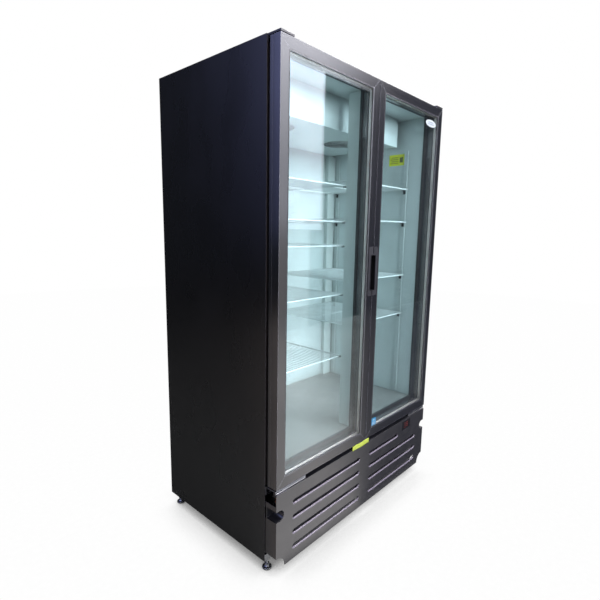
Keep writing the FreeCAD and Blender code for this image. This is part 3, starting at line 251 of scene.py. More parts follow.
def white_paint(name, low, high, roughness, peel, shaded_floor_below=None):
    """White enamel or powder coat: faint mottling, painted shade in the corners and orange peel."""
    look = Surface(name)
    mottle = look.noise(5.0, 4.0)
    smear = look.noise(16.0, 4.0, (1.0, 1.0, 0.2))
    corner = look.node("AmbientOcclusion", {"Distance": 60 * MM}, samples=4).outputs["AO"]
    base = look.mix(mottle, low, high)
    # painted shade: below the given height the paint turns a mottled grey for the floor in shadow
    if shaded_floor_below:
        height, grey = shaded_floor_below
        level = look.node("SeparateXYZ", {"Vector": look.place}).outputs["Z"]
        worn = look.mix(look.noise(9.0, 5.0), grey, srgb(146, 144, 140))
        base = look.mix(look.maths("LESS_THAN", level, height), base, worn)
    # painted shade: the paint turns grey where ambient occlusion finds corners and recesses
    base = look.mix(look.remap(corner, 0.9, 0.3, 0.0, 0.5), base, srgb(128, 132, 126))
    rough = look.remap(smear, 0.3, 0.7, roughness * 0.8, roughness * 1.25)
    look.bump(look.noise(4.0, 1.0), 0.8 * MM)
    look.bump(look.noise(peel, 2.0), 0.03 * MM)
    look.set(Base_Color=base, Roughness=rough)
    return look.done()


@listed
def white_enamel(name):
    """The liner's white enamel. Its floor is painted a mottled grey as painted shade."""
    painted_floor_shade = srgb(122, 122, 120)
    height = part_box("cabinet_liner")[0][2] + 1.8 * MM
    return white_paint(name, srgb(200, 210, 209), srgb(215, 223, 222), 0.34, 650.0,
                       (height, painted_floor_shade))


@listed
def white_wire(name):
    return white_paint(name, srgb(232, 238, 237), srgb(244, 248, 247), 0.28, 900.0)


def plastic(name, low, high, roughness, texture, depth, edge=None):
    """Moulded plastic: a fine moulded texture, slow change of tone, and edges lightened partly as rub
    wear and partly as a painted highlight.
    """
    look = Surface(name)
    tone = look.noise(7.0, 3.0)
    grain = look.noise(texture, 3.0)
    base = look.mix(tone, low, high)
    # edges lightened partly as rub wear and partly as a painted highlight
    if edge:
        base = look.over(base, look.edges(0.9 * MM), 0.3, edge)
    rough = look.remap(look.noise(24.0, 4.0), 0.3, 0.7, roughness * 0.82, roughness * 1.2)
    look.bump(grain, depth)
    look.set(Base_Color=base, Roughness=rough)
    return look.done()


@listed
def white_plastic(name):
    return plastic(name, srgb(200, 208, 205), srgb(214, 221, 218), 0.42, 500.0, 0.03 * MM)


@listed
def black_strip(name):
    return plastic(name, srgb(30, 26, 28), srgb(44, 39, 40), 0.45, 420.0, 0.04 * MM, srgb(88, 82, 84))


@listed
def black_clip(name):
    return plastic(name, srgb(14, 14, 17), srgb(24, 24, 28), 0.5, 600.0, 0.03 * MM, srgb(64, 64, 70))


@listed
def black_moulding(name):
    return plastic(name, srgb(17, 17, 22), srgb(28, 28, 34), 0.40, 700.0, 0.03 * MM,
                   srgb(120, 120, 132))


@listed
def painted_highlight_lip(name):
    """The grille's plastic where it is rolled over an edge: smooth, and a paler grey as a painted
    highlight.
    """
    return plastic(name, srgb(84, 79, 92), srgb(98, 92, 106), 0.24, 90.0, 0.02 * MM)


@listed
def grille_plastic(name):
    """Satin black moulding that takes a broad grey sheen from the light in front, with a painted
    highlight along its edges.
    """
    look = Surface(name)
    base = look.mix(look.noise(6.0, 3.0), srgb(11, 11, 16), srgb(19, 19, 25))
    # painted highlight: a light grey laid along the sharp edges
    base = look.over(base, look.edges(0.9 * MM), 0.35, srgb(150, 150, 160))
    rough = look.remap(look.noise(24.0, 4.0), 0.3, 0.7, 0.28, 0.40)
    look.bump(look.noise(900.0, 3.0), 0.02 * MM)
    look.set(Base_Color=base, Roughness=rough, IOR=1.75)
    return look.done()


@listed
def motor_black(name):
    return plastic(name, srgb(12, 12, 14), srgb(24, 24, 26), 0.42, 260.0, 0.08 * MM, srgb(70, 70, 72))


@listed
def fan_plastic(name):
    return plastic(name, srgb(16, 16, 18), srgb(30, 30, 33), 0.38, 500.0, 0.03 * MM, srgb(60, 60, 64))


@listed
def cartridge(name):
    return plastic(name, srgb(26, 26, 31), srgb(38, 38, 44), 0.22, 500.0, 0.03 * MM, srgb(110, 104, 90))


@listed
def diffuser(name):
    """Frosted lamp cover, with its strip unlit."""
    look = Surface(name)
    base = look.mix(look.noise(12.0, 3.0), srgb(216, 226, 225), srgb(230, 237, 236))
    look.bump(look.noise(1200.0, 1.0), 0.02 * MM)
    look.set(Base_Color=base, Roughness=0.3, Subsurface_Weight=0.15)
    return look.done()


def anodised(name, grain):
    """Black anodised aluminium: a broad satin sheen with very fine lines along the bar, and a painted
    highlight along its edges.
    """
    look = Surface(name)
    drawn = look.noise(900.0, 2.0, grain)
    cloud = look.noise(6.0, 3.0)
    base = look.mix(cloud, srgb(8, 9, 15), srgb(13, 14, 21))
    # painted highlight: a pale lilac-grey laid along the edges
    base = look.over(base, look.edges(1.8 * MM), 0.7, srgb(165, 165, 180))
    rough = look.remap(drawn, 0.3, 0.7, 0.17, 0.23)
    look.bump(drawn, 0.003 * MM)
    look.set(Base_Color=base, Roughness=rough, IOR=1.8)
    return look.done()


@listed
def black_frame(name):
    return anodised(name, (1.0, 1.0, 0.01))


@listed
def black_frame_level(name):
    return anodised(name, (0.01, 1.0, 1.0))


@listed
def clear_glass(name):
    """Float glass with a green cast: straight through, with a clean reflection that grows to the side."""
    look = Surface(name)
    smear = look.noise(7.0, 5.0)
    clean = (0.942, 0.976, 0.987, 1.0)
    tint = look.mix(look.remap(smear, 0.5, 0.8), clean, (0.918, 0.95, 0.96, 1.0))
    clear = look.node("BsdfTransparent", {"Color": tint})
    gloss = look.node("BsdfAnisotropic", {"Color": (1.0, 1.0, 1.0, 1.0),
                                          "Roughness": look.remap(smear, 0.45, 0.8, 0.004, 0.03)})
    edge_on = look.node("LayerWeight", {"Blend": 0.5}).outputs["Facing"]
    bounce = look.remap(look.maths("POWER", edge_on, 5.0), 0.0, 1.0, 0.042, 1.0)
    mixed = look.node("MixShader", {0: bounce, 1: clear.outputs["BSDF"], 2: gloss.outputs["BSDF"]})
    look.show(mixed.outputs["Shader"])
    return look.done()


@listed
def black_gasket(name):
    return plastic(name, srgb(30, 30, 38), srgb(44, 44, 54), 0.5, 300.0, 0.05 * MM)


@listed
def display(name):
    return plastic(name, srgb(6, 6, 9), srgb(12, 12, 16), 0.12, 900.0, 0.005 * MM)


@listed
def clear_tube(name):
    """The milky hose of the drain."""
    look = Surface(name)
    base = look.mix(look.noise(20.0, 3.0), srgb(206, 208, 198), srgb(226, 228, 220))
    look.bump(look.noise(200.0, 2.0), 0.05 * MM)
    look.set(Base_Color=base, Roughness=0.25, Subsurface_Weight=0.2)
    return look.done()


def printed(name, ink, worn, roughness=0.35):
    """A printed label or a painted mark, a little faded in patches."""
    look = Surface(name)
    base = look.mix(look.remap(look.noise(45.0, 3.0), 0.45, 0.75), ink, worn)
    look.bump(look.noise(300.0, 2.0), 0.02 * MM)
    look.set(Base_Color=base, Roughness=roughness)
    return look.done()


@listed
def badge_white(name):
    return printed(name, srgb(146, 151, 158), srgb(136, 142, 150))


@listed
def badge_grey(name):
    return printed(name, srgb(88, 96, 108), srgb(104, 112, 122))


@listed
def label_blue(name):
    return printed(name, srgb(8, 98, 140), srgb(18, 108, 150))


@listed
def label_yellow(name):
    return printed(name, srgb(246, 250, 30), srgb(250, 252, 70))


@listed
def label_ink(name):
    return printed(name, srgb(96, 104, 40), srgb(120, 126, 60))


@listed
def tape_yellow(name):
    return printed(name, srgb(134, 146, 52), srgb(150, 160, 72), 0.5)


@listed
def red_digit(name):
    """The dim red segments of the display."""
    look = Surface(name)
    flicker = look.noise(220.0, 2.0)
    base = look.mix(flicker, srgb(92, 30, 30), srgb(112, 40, 38))
    look.bump(flicker, 0.01 * MM)
    look.set(Base_Color=base, Roughness=0.3, Emission_Color=base, Emission_Strength=0.15)
    return look.done()


looks = {slot: make(slot + "_look") for slot, make in FINISHES.items()}


# ---------------------------------------------------------------- shapes

def linked(name, data):
    """A new object in the scene."""
    made = bpy.data.objects.new(name, data)
    bpy.context.scene.collection.objects.link(made)
    return made


def loose(name, shape):
    """A mesh object of a bmesh in row-frame metres."""
    bmesh.ops.recalc_face_normals(shape, faces=shape.faces)
    mesh = bpy.data.meshes.new(name)
    shape.to_mesh(mesh)
    shape.free()
    return linked(name, mesh)


def piece(name, shape, finish, body, replaces=(), bevel=0.0, segments=2, angle=32):
    """Turns a bmesh into a shown piece that rides on a CAD body, and returns it."""
    made = loose(name, shape)
    made.data.shade_smooth()
    made.data.set_sharp_from_angle(angle=math.radians(angle))
    made.data.materials.append(looks[finish])
    if bevel:
        soften(made, bevel, segments, weld=False)
    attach(made, body)
    if replaces:
        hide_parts(*replaces)
    return made


def soften(node, width, segments=2, weld=True):
    """Rounds the sharp edges of a piece or a CAD node."""
    if weld:
        joined = node.modifiers.new("joined", "WELD")
        joined.merge_threshold = 0.02 * MM
    rounded = node.modifiers.new("rounded", "BEVEL")
    rounded.width = width
    rounded.segments = segments
    rounded.limit_method = "ANGLE"
    rounded.angle_limit = math.radians(34)
    rounded.use_clamp_overlap = True
    rounded.miter_outer = "MITER_ARC"
    shaded = node.modifiers.new("shaded", "WEIGHTED_NORMAL")
    shaded.keep_sharp = False


def box_shape(shape, low, high):
    """Adds a box between two corners."""
    corners = [shape.verts.new((x, y, z)) for z in (low[2], high[2]) for y in (low[1], high[1])
               for x in (low[0], high[0])]
    for face in ((0, 2, 3, 1), (4, 5, 7, 6), (0, 1, 5, 4), (2, 6, 7, 3), (0, 4, 6, 2), (1, 3, 7, 5)):
        shape.faces.new([corners[index] for index in face])


def skin(shape, rings):
    """Joins each ring of vertices to the next."""
    for first, after in zip(rings, rings[1:]):
        for side in range(len(first)):
            beside = (side + 1) % len(first)
            shape.faces.new((first[side], first[beside], after[beside], after[side]))


def prism(shape, start, end):
    """Joins two matching rings of points into a closed bar."""
    first = [shape.verts.new(point) for point in start]
    last = [shape.verts.new(point) for point in end]
    skin(shape, (first, last))
    shape.faces.new(first)
    shape.faces.new(list(reversed(last)))


def lathe(shape, outline, place, axis="z", steps=32):
    """Turns (radius, height) points about an axis through a place. It caps an end whose radius is 0."""
    def point(radius, height, turn):
        across = (radius * math.cos(turn), radius * math.sin(turn))
        spots = {"y": (across[1], height, across[0]), "z": (*across, height)}
        return Vector(place) + Vector(spots[axis])

    rings = []
    for radius, height in outline:
        if radius == 0:
            rings.append([shape.verts.new(point(0, height, 0))])
        else:
            rings.append([shape.verts.new(point(radius, height, 2 * math.pi * step / steps))
                          for step in range(steps)])
    for low, high in zip(rings, rings[1:]):
        for step in range(steps):
            after = (step + 1) % steps
            if len(low) == 1:
                shape.faces.new((low[0], high[after], high[step]))
            elif len(high) == 1:
                shape.faces.new((low[step], low[after], high[0]))
            else:
                shape.faces.new((low[step], low[after], high[after], high[step]))


def ring_wire(shape, place, radius, thick, steps=64, sides=8):
    """A round wire bent into a level circle."""
    rings = []
    for step in range(steps):
        turn = 2 * math.pi * step / steps
        out = Vector((math.cos(turn), math.sin(turn), 0))
        ring = []
        for side in range(sides):
            angle = 2 * math.pi * side / sides
            spot = out * (radius + thick * math.cos(angle)) + Vector((0, 0, thick * math.sin(angle)))
            ring.append(shape.verts.new(Vector(place) + spot))
        rings.append(ring)
    skin(shape, rings + rings[:1])


def tube(shape, points, radius, across, sides=12):
    """A closed round tube along a flat path. Across is the direction square to the path's plane."""
    rings = []
    turns = [2 * math.pi * side / sides for side in range(sides)]
    for index, point in enumerate(points):
        before = points[max(index - 1, 0)]
        after = points[min(index + 1, len(points) - 1)]
        inward = across.cross((after - before).normalized())
        rings.append([shape.verts.new(point + radius * (math.cos(turn) * inward
                                                        + math.sin(turn) * across))
                      for turn in turns])
    skin(shape, rings)
    shape.faces.new(list(reversed(rings[0])))
    shape.faces.new(rings[-1])


def rails(shape, low, high, profile, front, gap=0.0, only=(0, 1, 2, 3)):
    """Mitred bars of one (inward, backward) profile round the front of a box: low, right, top, left."""
    def corner(inward, backward, right, up, slide):
        x = high[0] - inward if right else low[0] + inward
        z = high[2] - inward if up else low[2] + inward
        return (x + slide[0], front + backward, z + slide[1])

    bars = (((0, 0), (1, 0), (gap, 0)), ((1, 0), (1, 1), (0, gap)),
            ((1, 1), (0, 1), (-gap, 0)), ((0, 1), (0, 0), (0, -gap)))
    for start, end, slide in (bars[index] for index in only):
        back = (-slide[0], -slide[1])
        prism(shape, [corner(u, v, *start, slide) for u, v in profile],
              [corner(u, v, *end, back) for u, v in profile])


def scaled(points):
    """Points given in millimetres, in metres."""
    return [tuple(value * MM for value in point) for point in points]


def carve(target, cutter):
    """Takes one mesh object away from another for good, then drops the cutter."""
    cut = target.modifiers.new("cut", "BOOLEAN")
    cut.operation = "DIFFERENCE"
    cut.solver = "EXACT"
    cut.object = cutter
    graph = bpy.context.evaluated_depsgraph_get()
    result = bpy.data.meshes.new_from_object(target.evaluated_get(graph))
    target.modifiers.clear()
    target.data = result
    bpy.data.objects.remove(cutter)


# ---------------------------------------------------------------- doors

SIDES = {"left": -1, "right": 1}
JOINTS = {joint["name"]: joint for joint in frame["record"]["behaviour"]["joints"]}
FRAME_PROFILE = scaled([
    (0, 0), (40.2, 0), (40.8, 0.7), (41.8, 0.7), (42.2, 0.2), (46, 0.6), (46, 3.2), (37, 3.2),
    (37, 25.2), (46, 25.2), (46, 30), (44.6, 31), (44.6, 49), (43.6, 50), (0, 50),
    (0, 36.5), (0.9, 35.5), (0.9, 33.5), (0, 32.5),
])
GASKET_PROFILE = scaled([
    (2, 0), (8, 0), (8, 1.4), (12, 1.4), (12, 0), (18, 0), (18, 1.6), (16.4, 3.0), (18.6, 4.8),
    (16.8, 6.6), (19.4, 8.2), (20, 9.0), (20, 12.2), (0, 12.2), (0, 9.0), (0.6, 8.2), (3.2, 6.6),
    (1.4, 4.8), (3.6, 3.0), (2, 1.6),
])
SPACER_PROFILE = scaled([
    (0, 0), (8.2, 0), (9, 0.7), (9, 4.6), (8.4, 5.2), (8.4, 6.2), (8.7, 6.6), (8.4, 7.0), (8.4, 8.0),
    (9, 8.6), (9, 12.5), (8.2, 13.2), (0, 13.2),
])


def joint_axis(joint):
    """The (x, y) of an upright joint's axis."""
    return JOINTS[joint]["pos_m"][:2]


def door_frames():
    """Mitred aluminium rails with a glazing bead, a side groove, pin holes and a cut for the grip."""
    hole = 4.2 * MM
    deep = 29 * MM
    for word, side in SIDES.items():
        node = f"door_frame_{word}"
        low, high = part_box(node)
        made = {}
        for name, finish, only in (("levels", "black_frame_level", (0, 2)),
                                   ("uprights", "black_frame", (1, 3))):
            shape = bmesh.new()
            rails(shape, low, high, FRAME_PROFILE, low[1], 0.1 * MM, only)
            made[name] = piece(f"door_{name}_{word}", shape, finish, f"{word}_door",
                               (node,))
        tool = bmesh.new()
        for z in (low[2] - 5 * MM, high[2] - 24 * MM):
            lathe(tool, [(0, 0), (hole, 0), (hole, deep), (0, deep)],
                  (*joint_axis(f"{word}_door_hinge"), z))
        carve(made["levels"], loose("pin_tool", tool))
        grip_low, grip_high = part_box(f"handle_grip_{word}")
        tool = bmesh.new()
        ends = sorted((side * 2 * MM, side * 34.2 * MM))
        box_shape(tool, (ends[0], low[1] - 1 * MM, grip_low[2] + 20.8 * MM),
                  (ends[1], grip_high[1] + 0.2 * MM, grip_high[2] - 35.8 * MM))
        carve(made["uprights"], loose("cup_tool", tool))
        for bars in made.values():
            soften(bars, 0.8 * MM, 2, weld=False)


def gaskets():
    """Magnetic gaskets with two soft folds between the door's back and the cabinet."""
    for word in SIDES:
        low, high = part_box(f"door_gasket_{word}")
        shape = bmesh.new()
        rails(shape, low, high, GASKET_PROFILE, low[1])
        piece(f"gasket_{word}", shape, "black_gasket", f"{word}_door",
              (f"door_gasket_{word}",), bevel=0.3 * MM)


def spacers():
    """The grooved metal strip that holds the two panes apart."""
    for word in SIDES:
        low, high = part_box(f"glass_spacer_{word}")
        shape = bmesh.new()
        rails(shape, low, high, SPACER_PROFILE, low[1] + (high[1] - low[1] - 13.2 * MM) / 2)
        piece(f"spacer_{word}", shape, "spacer_metal", f"{word}_door",
              (f"glass_spacer_{word}",), bevel=0.15 * MM)


# ---------------------------------------------------------------- hinges, screws and feet

LEG_THICK = 3 * MM      # the hinges' legs stand this far off the cabinet's front
SCREW_RADIUS = 4 * MM


def top_hinges():
    """A painted cap over each door's top corner, its leg on the cabinet's front, and its pin."""
    low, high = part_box("top_hinges")
    wide = 66 * MM
    under = high[2] - 6.6 * MM
    shape = bmesh.new()
    for word, side in SIDES.items():
        x = sorted((side * (high[0] - wide), side * high[0]))
        box_shape(shape, (x[0], low[1] - 3.2 * MM, under), (x[1], high[1] - 0.2 * MM, high[2] + 0.4 * MM))
        box_shape(shape, (x[0], high[1] - LEG_THICK, low[2] + 3.5 * MM),
                  (x[1], high[1] - 0.1 * MM, under - 0.1 * MM))
        lathe(shape, scaled([(0, 0), (3.2, 0), (4, 0.8), (4, 22.3), (0, 22.3)]),
              (*joint_axis(f"{word}_door_hinge"), low[2]), steps=24)
    piece("top_hinge_caps", shape, "black_enamel", "cabinet", ("top_hinges",),
          bevel=0.9 * MM, segments=3)


def hinge_hems():
    """The rolled lower edge of each bottom hinge plate's front lip."""
    shape = bmesh.new()
    low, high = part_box("bottom_hinges")
    for side in SIDES.values():
        hem = [Vector((side * (high[0] - inset * MM), low[1] + 1.6 * MM, high[2] - 11.8 * MM))
               for inset in (170, 87, 3)]
        tube(shape, hem, 2.4 * MM, Vector((0, 1, 0)), 16)
    piece("hinge_hems", shape, "galvanised", "cabinet")


def hinge_cartridges():
    """Under each door: the black spring can, its neck and pin, and the brass bush above the plate."""
    cans = bmesh.new()
    bushes = bmesh.new()
    for word in SIDES:
        spot = (*joint_axis(f"{word}_door_hinge"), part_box("hinge_cartridges")[0][2])
        lathe(cans, scaled([(0, 0), (8.6, 0), (9.6, 1.0), (9.6, 4), (8.8, 4.6), (8.8, 22), (10, 23),
                            (10, 29.8), (9, 30.8), (6, 30.8), (6, 34), (4, 34), (4, 55.2), (3.2, 56),
                            (0, 56)]), spot)
        lathe(bushes, scaled([(4.05, 34.3), (7.4, 34.3), (8, 34.8), (8, 36.6), (7, 37.2), (7, 38.8),
                              (6.4, 39.4), (4.05, 39.4), (4.05, 34.3)]), spot)
    bmesh.ops.remove_doubles(bushes, verts=bushes.verts, dist=0.001 * MM)
    piece("cartridge_cans", cans, "cartridge", "cabinet", ("hinge_cartridges",))
    piece("cartridge_bushes", bushes, "bush_brass", "cabinet", replaces=("hinge_cartridges",))


def screw_template(radius, proud):
    """A pan head with a cross recess; it faces -Y and stands on the plane Y = 0."""
    shape = bmesh.new()
    lathe(shape, [(0, 0), (radius, 0), (radius, -0.35 * proud), (0.86 * radius, -0.72 * proud),
                  (0.5 * radius, -0.94 * proud), (0, -proud)], (0, 0, 0), "y", 24)
    head = loose("head", shape)
    long, short = 0.58 * radius, 0.13 * radius
    for x, z in ((long, short), (short, long)):
        tool = bmesh.new()
        box_shape(tool, (-x, -2 * proud, -z), (x, -0.45 * proud, z))
        carve(head, loose("cross", tool))
    return head


def stamp(shape, template, place, turn):
    """Adds a copy of a template's mesh, turned and moved."""
    known = set(shape.verts)
    shape.from_mesh(template.data)
    fresh = [vert for vert in shape.verts if vert not in known]
    bmesh.ops.transform(shape, matrix=Matrix.Translation(place) @ turn, verts=fresh)


def screws():
    """Cross-head screws on the hinge plates and round the back panel."""
    shape = bmesh.new()
    spin = random.Random(7)
    for proud, places, facing in screw_places():
        template = screw_template(SCREW_RADIUS, proud)
        for place in places:
            turn = Matrix.Rotation(facing, 4, "Z") @ Matrix.Rotation(spin.uniform(0, 1.5), 4, "Y")
            stamp(shape, template, place, turn)
        bpy.data.objects.remove(template)
    piece("screws", shape, "zinc", "cabinet", ("cabinet_screws",))


def screw_places():
    """(head height, places, turn about Z) of each kind of screw."""
    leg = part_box("top_hinges")[1][1] - LEG_THICK
    levels = (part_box("top_hinges")[0][2] + 12 * MM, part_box("bottom_hinges")[0][2] + 11 * MM)
    top, low = ([(side * x * MM, leg, z) for side in SIDES.values() for x in (543, 569)]
                for z in levels)
    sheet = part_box("back_panel")[1][1]
    back = [(side * 575 * MM, sheet, (200 + 560 * row) * MM) for side in SIDES.values()
            for row in range(4)]
    return (1.4 * MM, top, 0.0), (2.2 * MM, low, 0.0), (1.6 * MM, back, math.pi)


def feet():
    """Levelling feet: a pressed round base, a hexagon above it and a threaded stem."""
    for word in ("front_left", "front_right", "rear_left", "rear_right"):
        node = f"levelling_foot_{word}"
        low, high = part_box(node)
        middle = ((low[0] + high[0]) / 2, (low[1] + high[1]) / 2)
        shape = bmesh.new()
        outline = [(0, 0), (16.4, 0), (19.2, 1.6), (20, 4), (19.6, 7.2), (17.5, 8.8), (11, 9.4),
                   (9, 11.5), (7, 14.5), (5.9, 16)]
        for turn in range(33):
            rise = 24.5 + 1.75 * turn
            outline += [(5.2, rise), (5.95, rise + 0.6)]
        outline += [(5.2, 83.2), (4.4, 84), (0, 84)]
        lathe(shape, scaled(outline), (*middle, 0.0), steps=36)
        nut = 11 * MM
        levels = [[(middle[0] + nut * math.cos(math.pi * flank / 3),
                    middle[1] + nut * math.sin(math.pi * flank / 3), z * MM) for flank in range(6)]
                  for z in (15.4, 23.6)]
        prism(shape, *levels)
        piece(f"foot_{word}", shape, "galvanised", f"foot_{word}", (node,), bevel=0.4 * MM,
              angle=50)


# ---------------------------------------------------------------- grille

def notch_pockets():
    """The scooped pocket behind each finger notch of the grille, open to the front and the side."""
    shape = bmesh.new()
    low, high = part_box("front_grille")
    middle = low[2] + 228 * MM
    centre = high[0] - 19 * MM
    radius = 23 * MM
    wall = 1.6 * MM
    deep = low[1] + 56 * MM
    for side in SIDES.values():
        outline = []
        for reach in (radius, radius + wall):
            arc = [(side * high[0], middle - reach)]
            for step in range(17):
                turn = math.pi * (step / 16 - 0.5)
                arc.append((side * (centre - reach * math.cos(turn)), middle + reach * math.sin(turn)))
            arc.append((side * high[0], middle + reach))
            outline.append(arc)
        ring = outline[0] + list(reversed(outline[1]))
        prism(shape, [(x, low[1] + 3.1 * MM, z) for x, z in ring], [(x, deep, z) for x, z in ring])
        back = outline[1]
        prism(shape, [(x, deep + 0.1 * MM, z) for x, z in back], [(x, deep + wall, z) for x, z in back])
    piece("notch_pockets", shape, "grille_plastic", "cabinet", bevel=0.3 * MM)


SLOT_ENDS = 40 * MM, 505 * MM      # how far from the middle each louvre slot starts and ends
SLOT_SHORT = 314 * MM              # where the top slot stops short of the display
SLOT_PITCH = 66 * MM
SLOT_ROUND = 11.5 * MM             # the radius of a slot's ends


def slot_lips():
    """The rolled lip and vane hem of each louvre slot, and the roll along the cover's top edge."""
    shape = bmesh.new()
    low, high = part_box("front_grille")
    deep = low[1] + 4.9 * MM
    reach = SLOT_ROUND + 1.4 * MM
    across = Vector((0, 1, 0))
    for side in SIDES.values():
        for row in range(4):
            outer = SLOT_SHORT if side > 0 and row == 3 else SLOT_ENDS[1]
            x = sorted((side * (SLOT_ENDS[0] + SLOT_ROUND), side * (outer - SLOT_ROUND)))
            z = low[2] + 44 * MM + SLOT_PITCH * row + SLOT_ROUND
            points = []
            for start, first in ((x[0], 180), (x[1], 270)):
                for step in range(9):
                    turn = math.radians(first + 90 * step / 8)
                    points.append(Vector((start + reach * math.cos(turn), deep,
                                          z + reach * math.sin(turn))))
            tube(shape, points, 5 * MM, across, 16)
            box_shape(shape, (x[0] - 4 * MM, deep + 14.3 * MM, z - 36 * MM),
                      (x[1] + 4 * MM, deep + 16.3 * MM, z - 23.4 * MM))
    roll = 4 * MM
    rim = [Vector((x * MM, low[1] + roll + 0.1 * MM, high[2] - roll)) for x in (-590, 0, 590)]
    tube(shape, rim, roll, across, 16)
    # painted highlight: the lips and the top roll take a paler grey than the grille
    piece("slot_lips", shape, "painted_highlight_lip", "cabinet")


# ---------------------------------------------------------------- labels and display

def plate(shape, x, z, front, thick, corner=2.0 * MM, steps=6):
    """A thin upright plate with round corners, facing -Y, in front of the plane Y = front."""
    outline = []
    for cx, cz, start in ((x[1] - corner, z[1] - corner, 0), (x[0] + corner, z[1] - corner, 90),
                          (x[0] + corner, z[0] + corner, 180), (x[1] - corner, z[0] + corner, 270)):
        for step in range(steps + 1):
            turn = math.radians(start + 90 * step / steps)
            outline.append((cx + corner * math.cos(turn), cz + corner * math.sin(turn)))
    prism(shape, [(px, front - thick, pz) for px, pz in outline],
          [(px, front, pz) for px, pz in outline])


def oval(shape, centre, half, front, thick, steps=48):
    """An upright oval plate facing -Y."""
    outline = [(centre[0] + half[0] * math.cos(2 * math.pi * step / steps),
                centre[1] + half[1] * math.sin(2 * math.pi * step / steps)) for step in range(steps)]
    prism(shape, [(x, front - thick, z) for x, z in outline], [(x, front, z) for x, z in outline])


def badge():
    """The plain oval badge at the top of the right door's glass."""
    low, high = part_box("outer_glass_right")
    glass = low[1]
    centre = (high[0] - 77.2 * MM, high[2] - 50.7 * MM)
    shape = bmesh.new()
    oval(shape, centre, (54 * MM, 17 * MM), glass - 0.05 * MM, 0.5 * MM)
    piece("badge_oval", shape, "badge_white", "right_door", bevel=0.15 * MM)
    shape = bmesh.new()
    for half, drop in ((26, 5), (33, -4)):
        plate(shape, (centre[0] - half * MM, centre[0] + half * MM),
              (centre[1] + (drop - 2.5) * MM, centre[1] + (drop + 2.5) * MM),
              glass - 0.6 * MM, 0.1 * MM)
    piece("badge_bars", shape, "badge_grey", "right_door")


def energy_label():
    """A small blue label low on the right door's glass, with plain pale bars."""
    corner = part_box("outer_glass_right")[0]
    glass = corner[1]
    x = (corner[0] + 10.7 * MM, corner[0] + 49.7 * MM)
    z = (corner[2] + 11.2 * MM, corner[2] + 46.7 * MM)
    shape = bmesh.new()
    plate(shape, x, z, glass - 0.05 * MM, 0.25 * MM)
    piece("energy_label", shape, "label_blue", "right_door")
    shape = bmesh.new()
    for low, high, inset in ((5, 8, 5), (12, 15, 9), (22, 29, 13)):
        plate(shape, (x[0] + inset * MM, x[1] - inset * MM), (z[0] + low * MM, z[0] + high * MM),
              glass - 0.35 * MM, 0.1 * MM, 1.2 * MM)
    piece("energy_label_bars", shape, "badge_white", "right_door")


def wall_label():
    """A yellow label on the inner right wall, with plain blocks in place of its print."""
    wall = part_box("cabinet_liner")[1][0] - 1.5 * MM
    y = (-194 * MM, -98 * MM)
    z = (1742 * MM, 1802 * MM)
    shape = bmesh.new()
    box_shape(shape, (wall - 0.3 * MM, y[0], z[0]), (wall, y[1], z[1]))
    piece("wall_label", shape, "label_yellow", "cabinet", bevel=0.1 * MM)
    shape = bmesh.new()
    front = (wall - 0.45 * MM, wall - 0.32 * MM)
    box_shape(shape, (front[0], y[0] + 9 * MM, z[0] + 16 * MM),
              (front[1], y[0] + 30 * MM, z[0] + 44 * MM))
    for index in range(4):
        low = z[0] + (12 + 10 * index) * MM
        box_shape(shape, (front[0], y[0] + 38 * MM, low),
                  (front[1], y[1] - (8 + 7 * (index % 2)) * MM, low + 4 * MM))
    piece("wall_label_marks", shape, "label_ink", "cabinet")


def tape():
    """A scrap of yellow tape over the grille's top edge."""
    grid = bmesh.new()
    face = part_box("front_grille")[0][1]
    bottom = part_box("front_grille")[1][2] - 5.5 * MM
    steps = 24
    rows = 5
    points = []
    for row in range(rows + 1):
        line = []
        for step in range(steps + 1):
            share = step / steps
            x = (-104 + 132 * share) * MM
            z = bottom + (23.5 * row / rows + 1.0 * math.sin(9 * share)) * MM
            wave = 0.14 * (1 + math.sin(23 * share + row)) * MM
            line.append(grid.verts.new((x, face - 0.12 * MM - wave, z)))
        points.append(line)
    for row in range(rows):
        for step in range(steps):
            grid.faces.new((points[row][step], points[row][step + 1], points[row + 1][step + 1],
                            points[row + 1][step]))
    made = piece("tape_scrap", grid, "tape_yellow", "cabinet")
    skin = made.modifiers.new("skin", "SOLIDIFY")
    skin.thickness = 0.1 * MM


SEGMENTS = {"top": (0, 1, True), "upper_left": (-1, 0.5, False), "upper_right": (1, 0.5, False),
            "middle": (0, 0, True), "lower_left": (-1, -0.5, False), "lower_right": (1, -0.5, False),
            "bottom": (0, -1, True)}
DIGITS = {3: ("top", "upper_right", "middle", "lower_right", "bottom"),
          8: tuple(SEGMENTS)}


def digits():
    """Two figures of the control's display, behind its window."""
    low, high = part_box("control_display")
    shape = bmesh.new()
    face = low[1] + 1.6 * MM
    half = 6.2 * MM
    thick = 0.8 * MM
    middle = ((low[0] + high[0]) / 2, (low[2] + high[2]) / 2)
    for offset, figure in ((-13 * MM, 3), (13 * MM, 8)):
        for name in DIGITS[figure]:
            across, up, level = SEGMENTS[name]
            x = middle[0] + offset + across * half
            z = middle[1] + up * 2 * half
            reach = (half - 0.8 * MM, thick) if level else (thick, half - 0.8 * MM)
            plate(shape, (x - reach[0], x + reach[0]), (z - reach[1], z + reach[1]), face,
                  0.2 * MM, 0.7 * MM, 2)
    piece("display_figures", shape, "red_digit", "cabinet")


# ---------------------------------------------------------------- cooling, back and inside

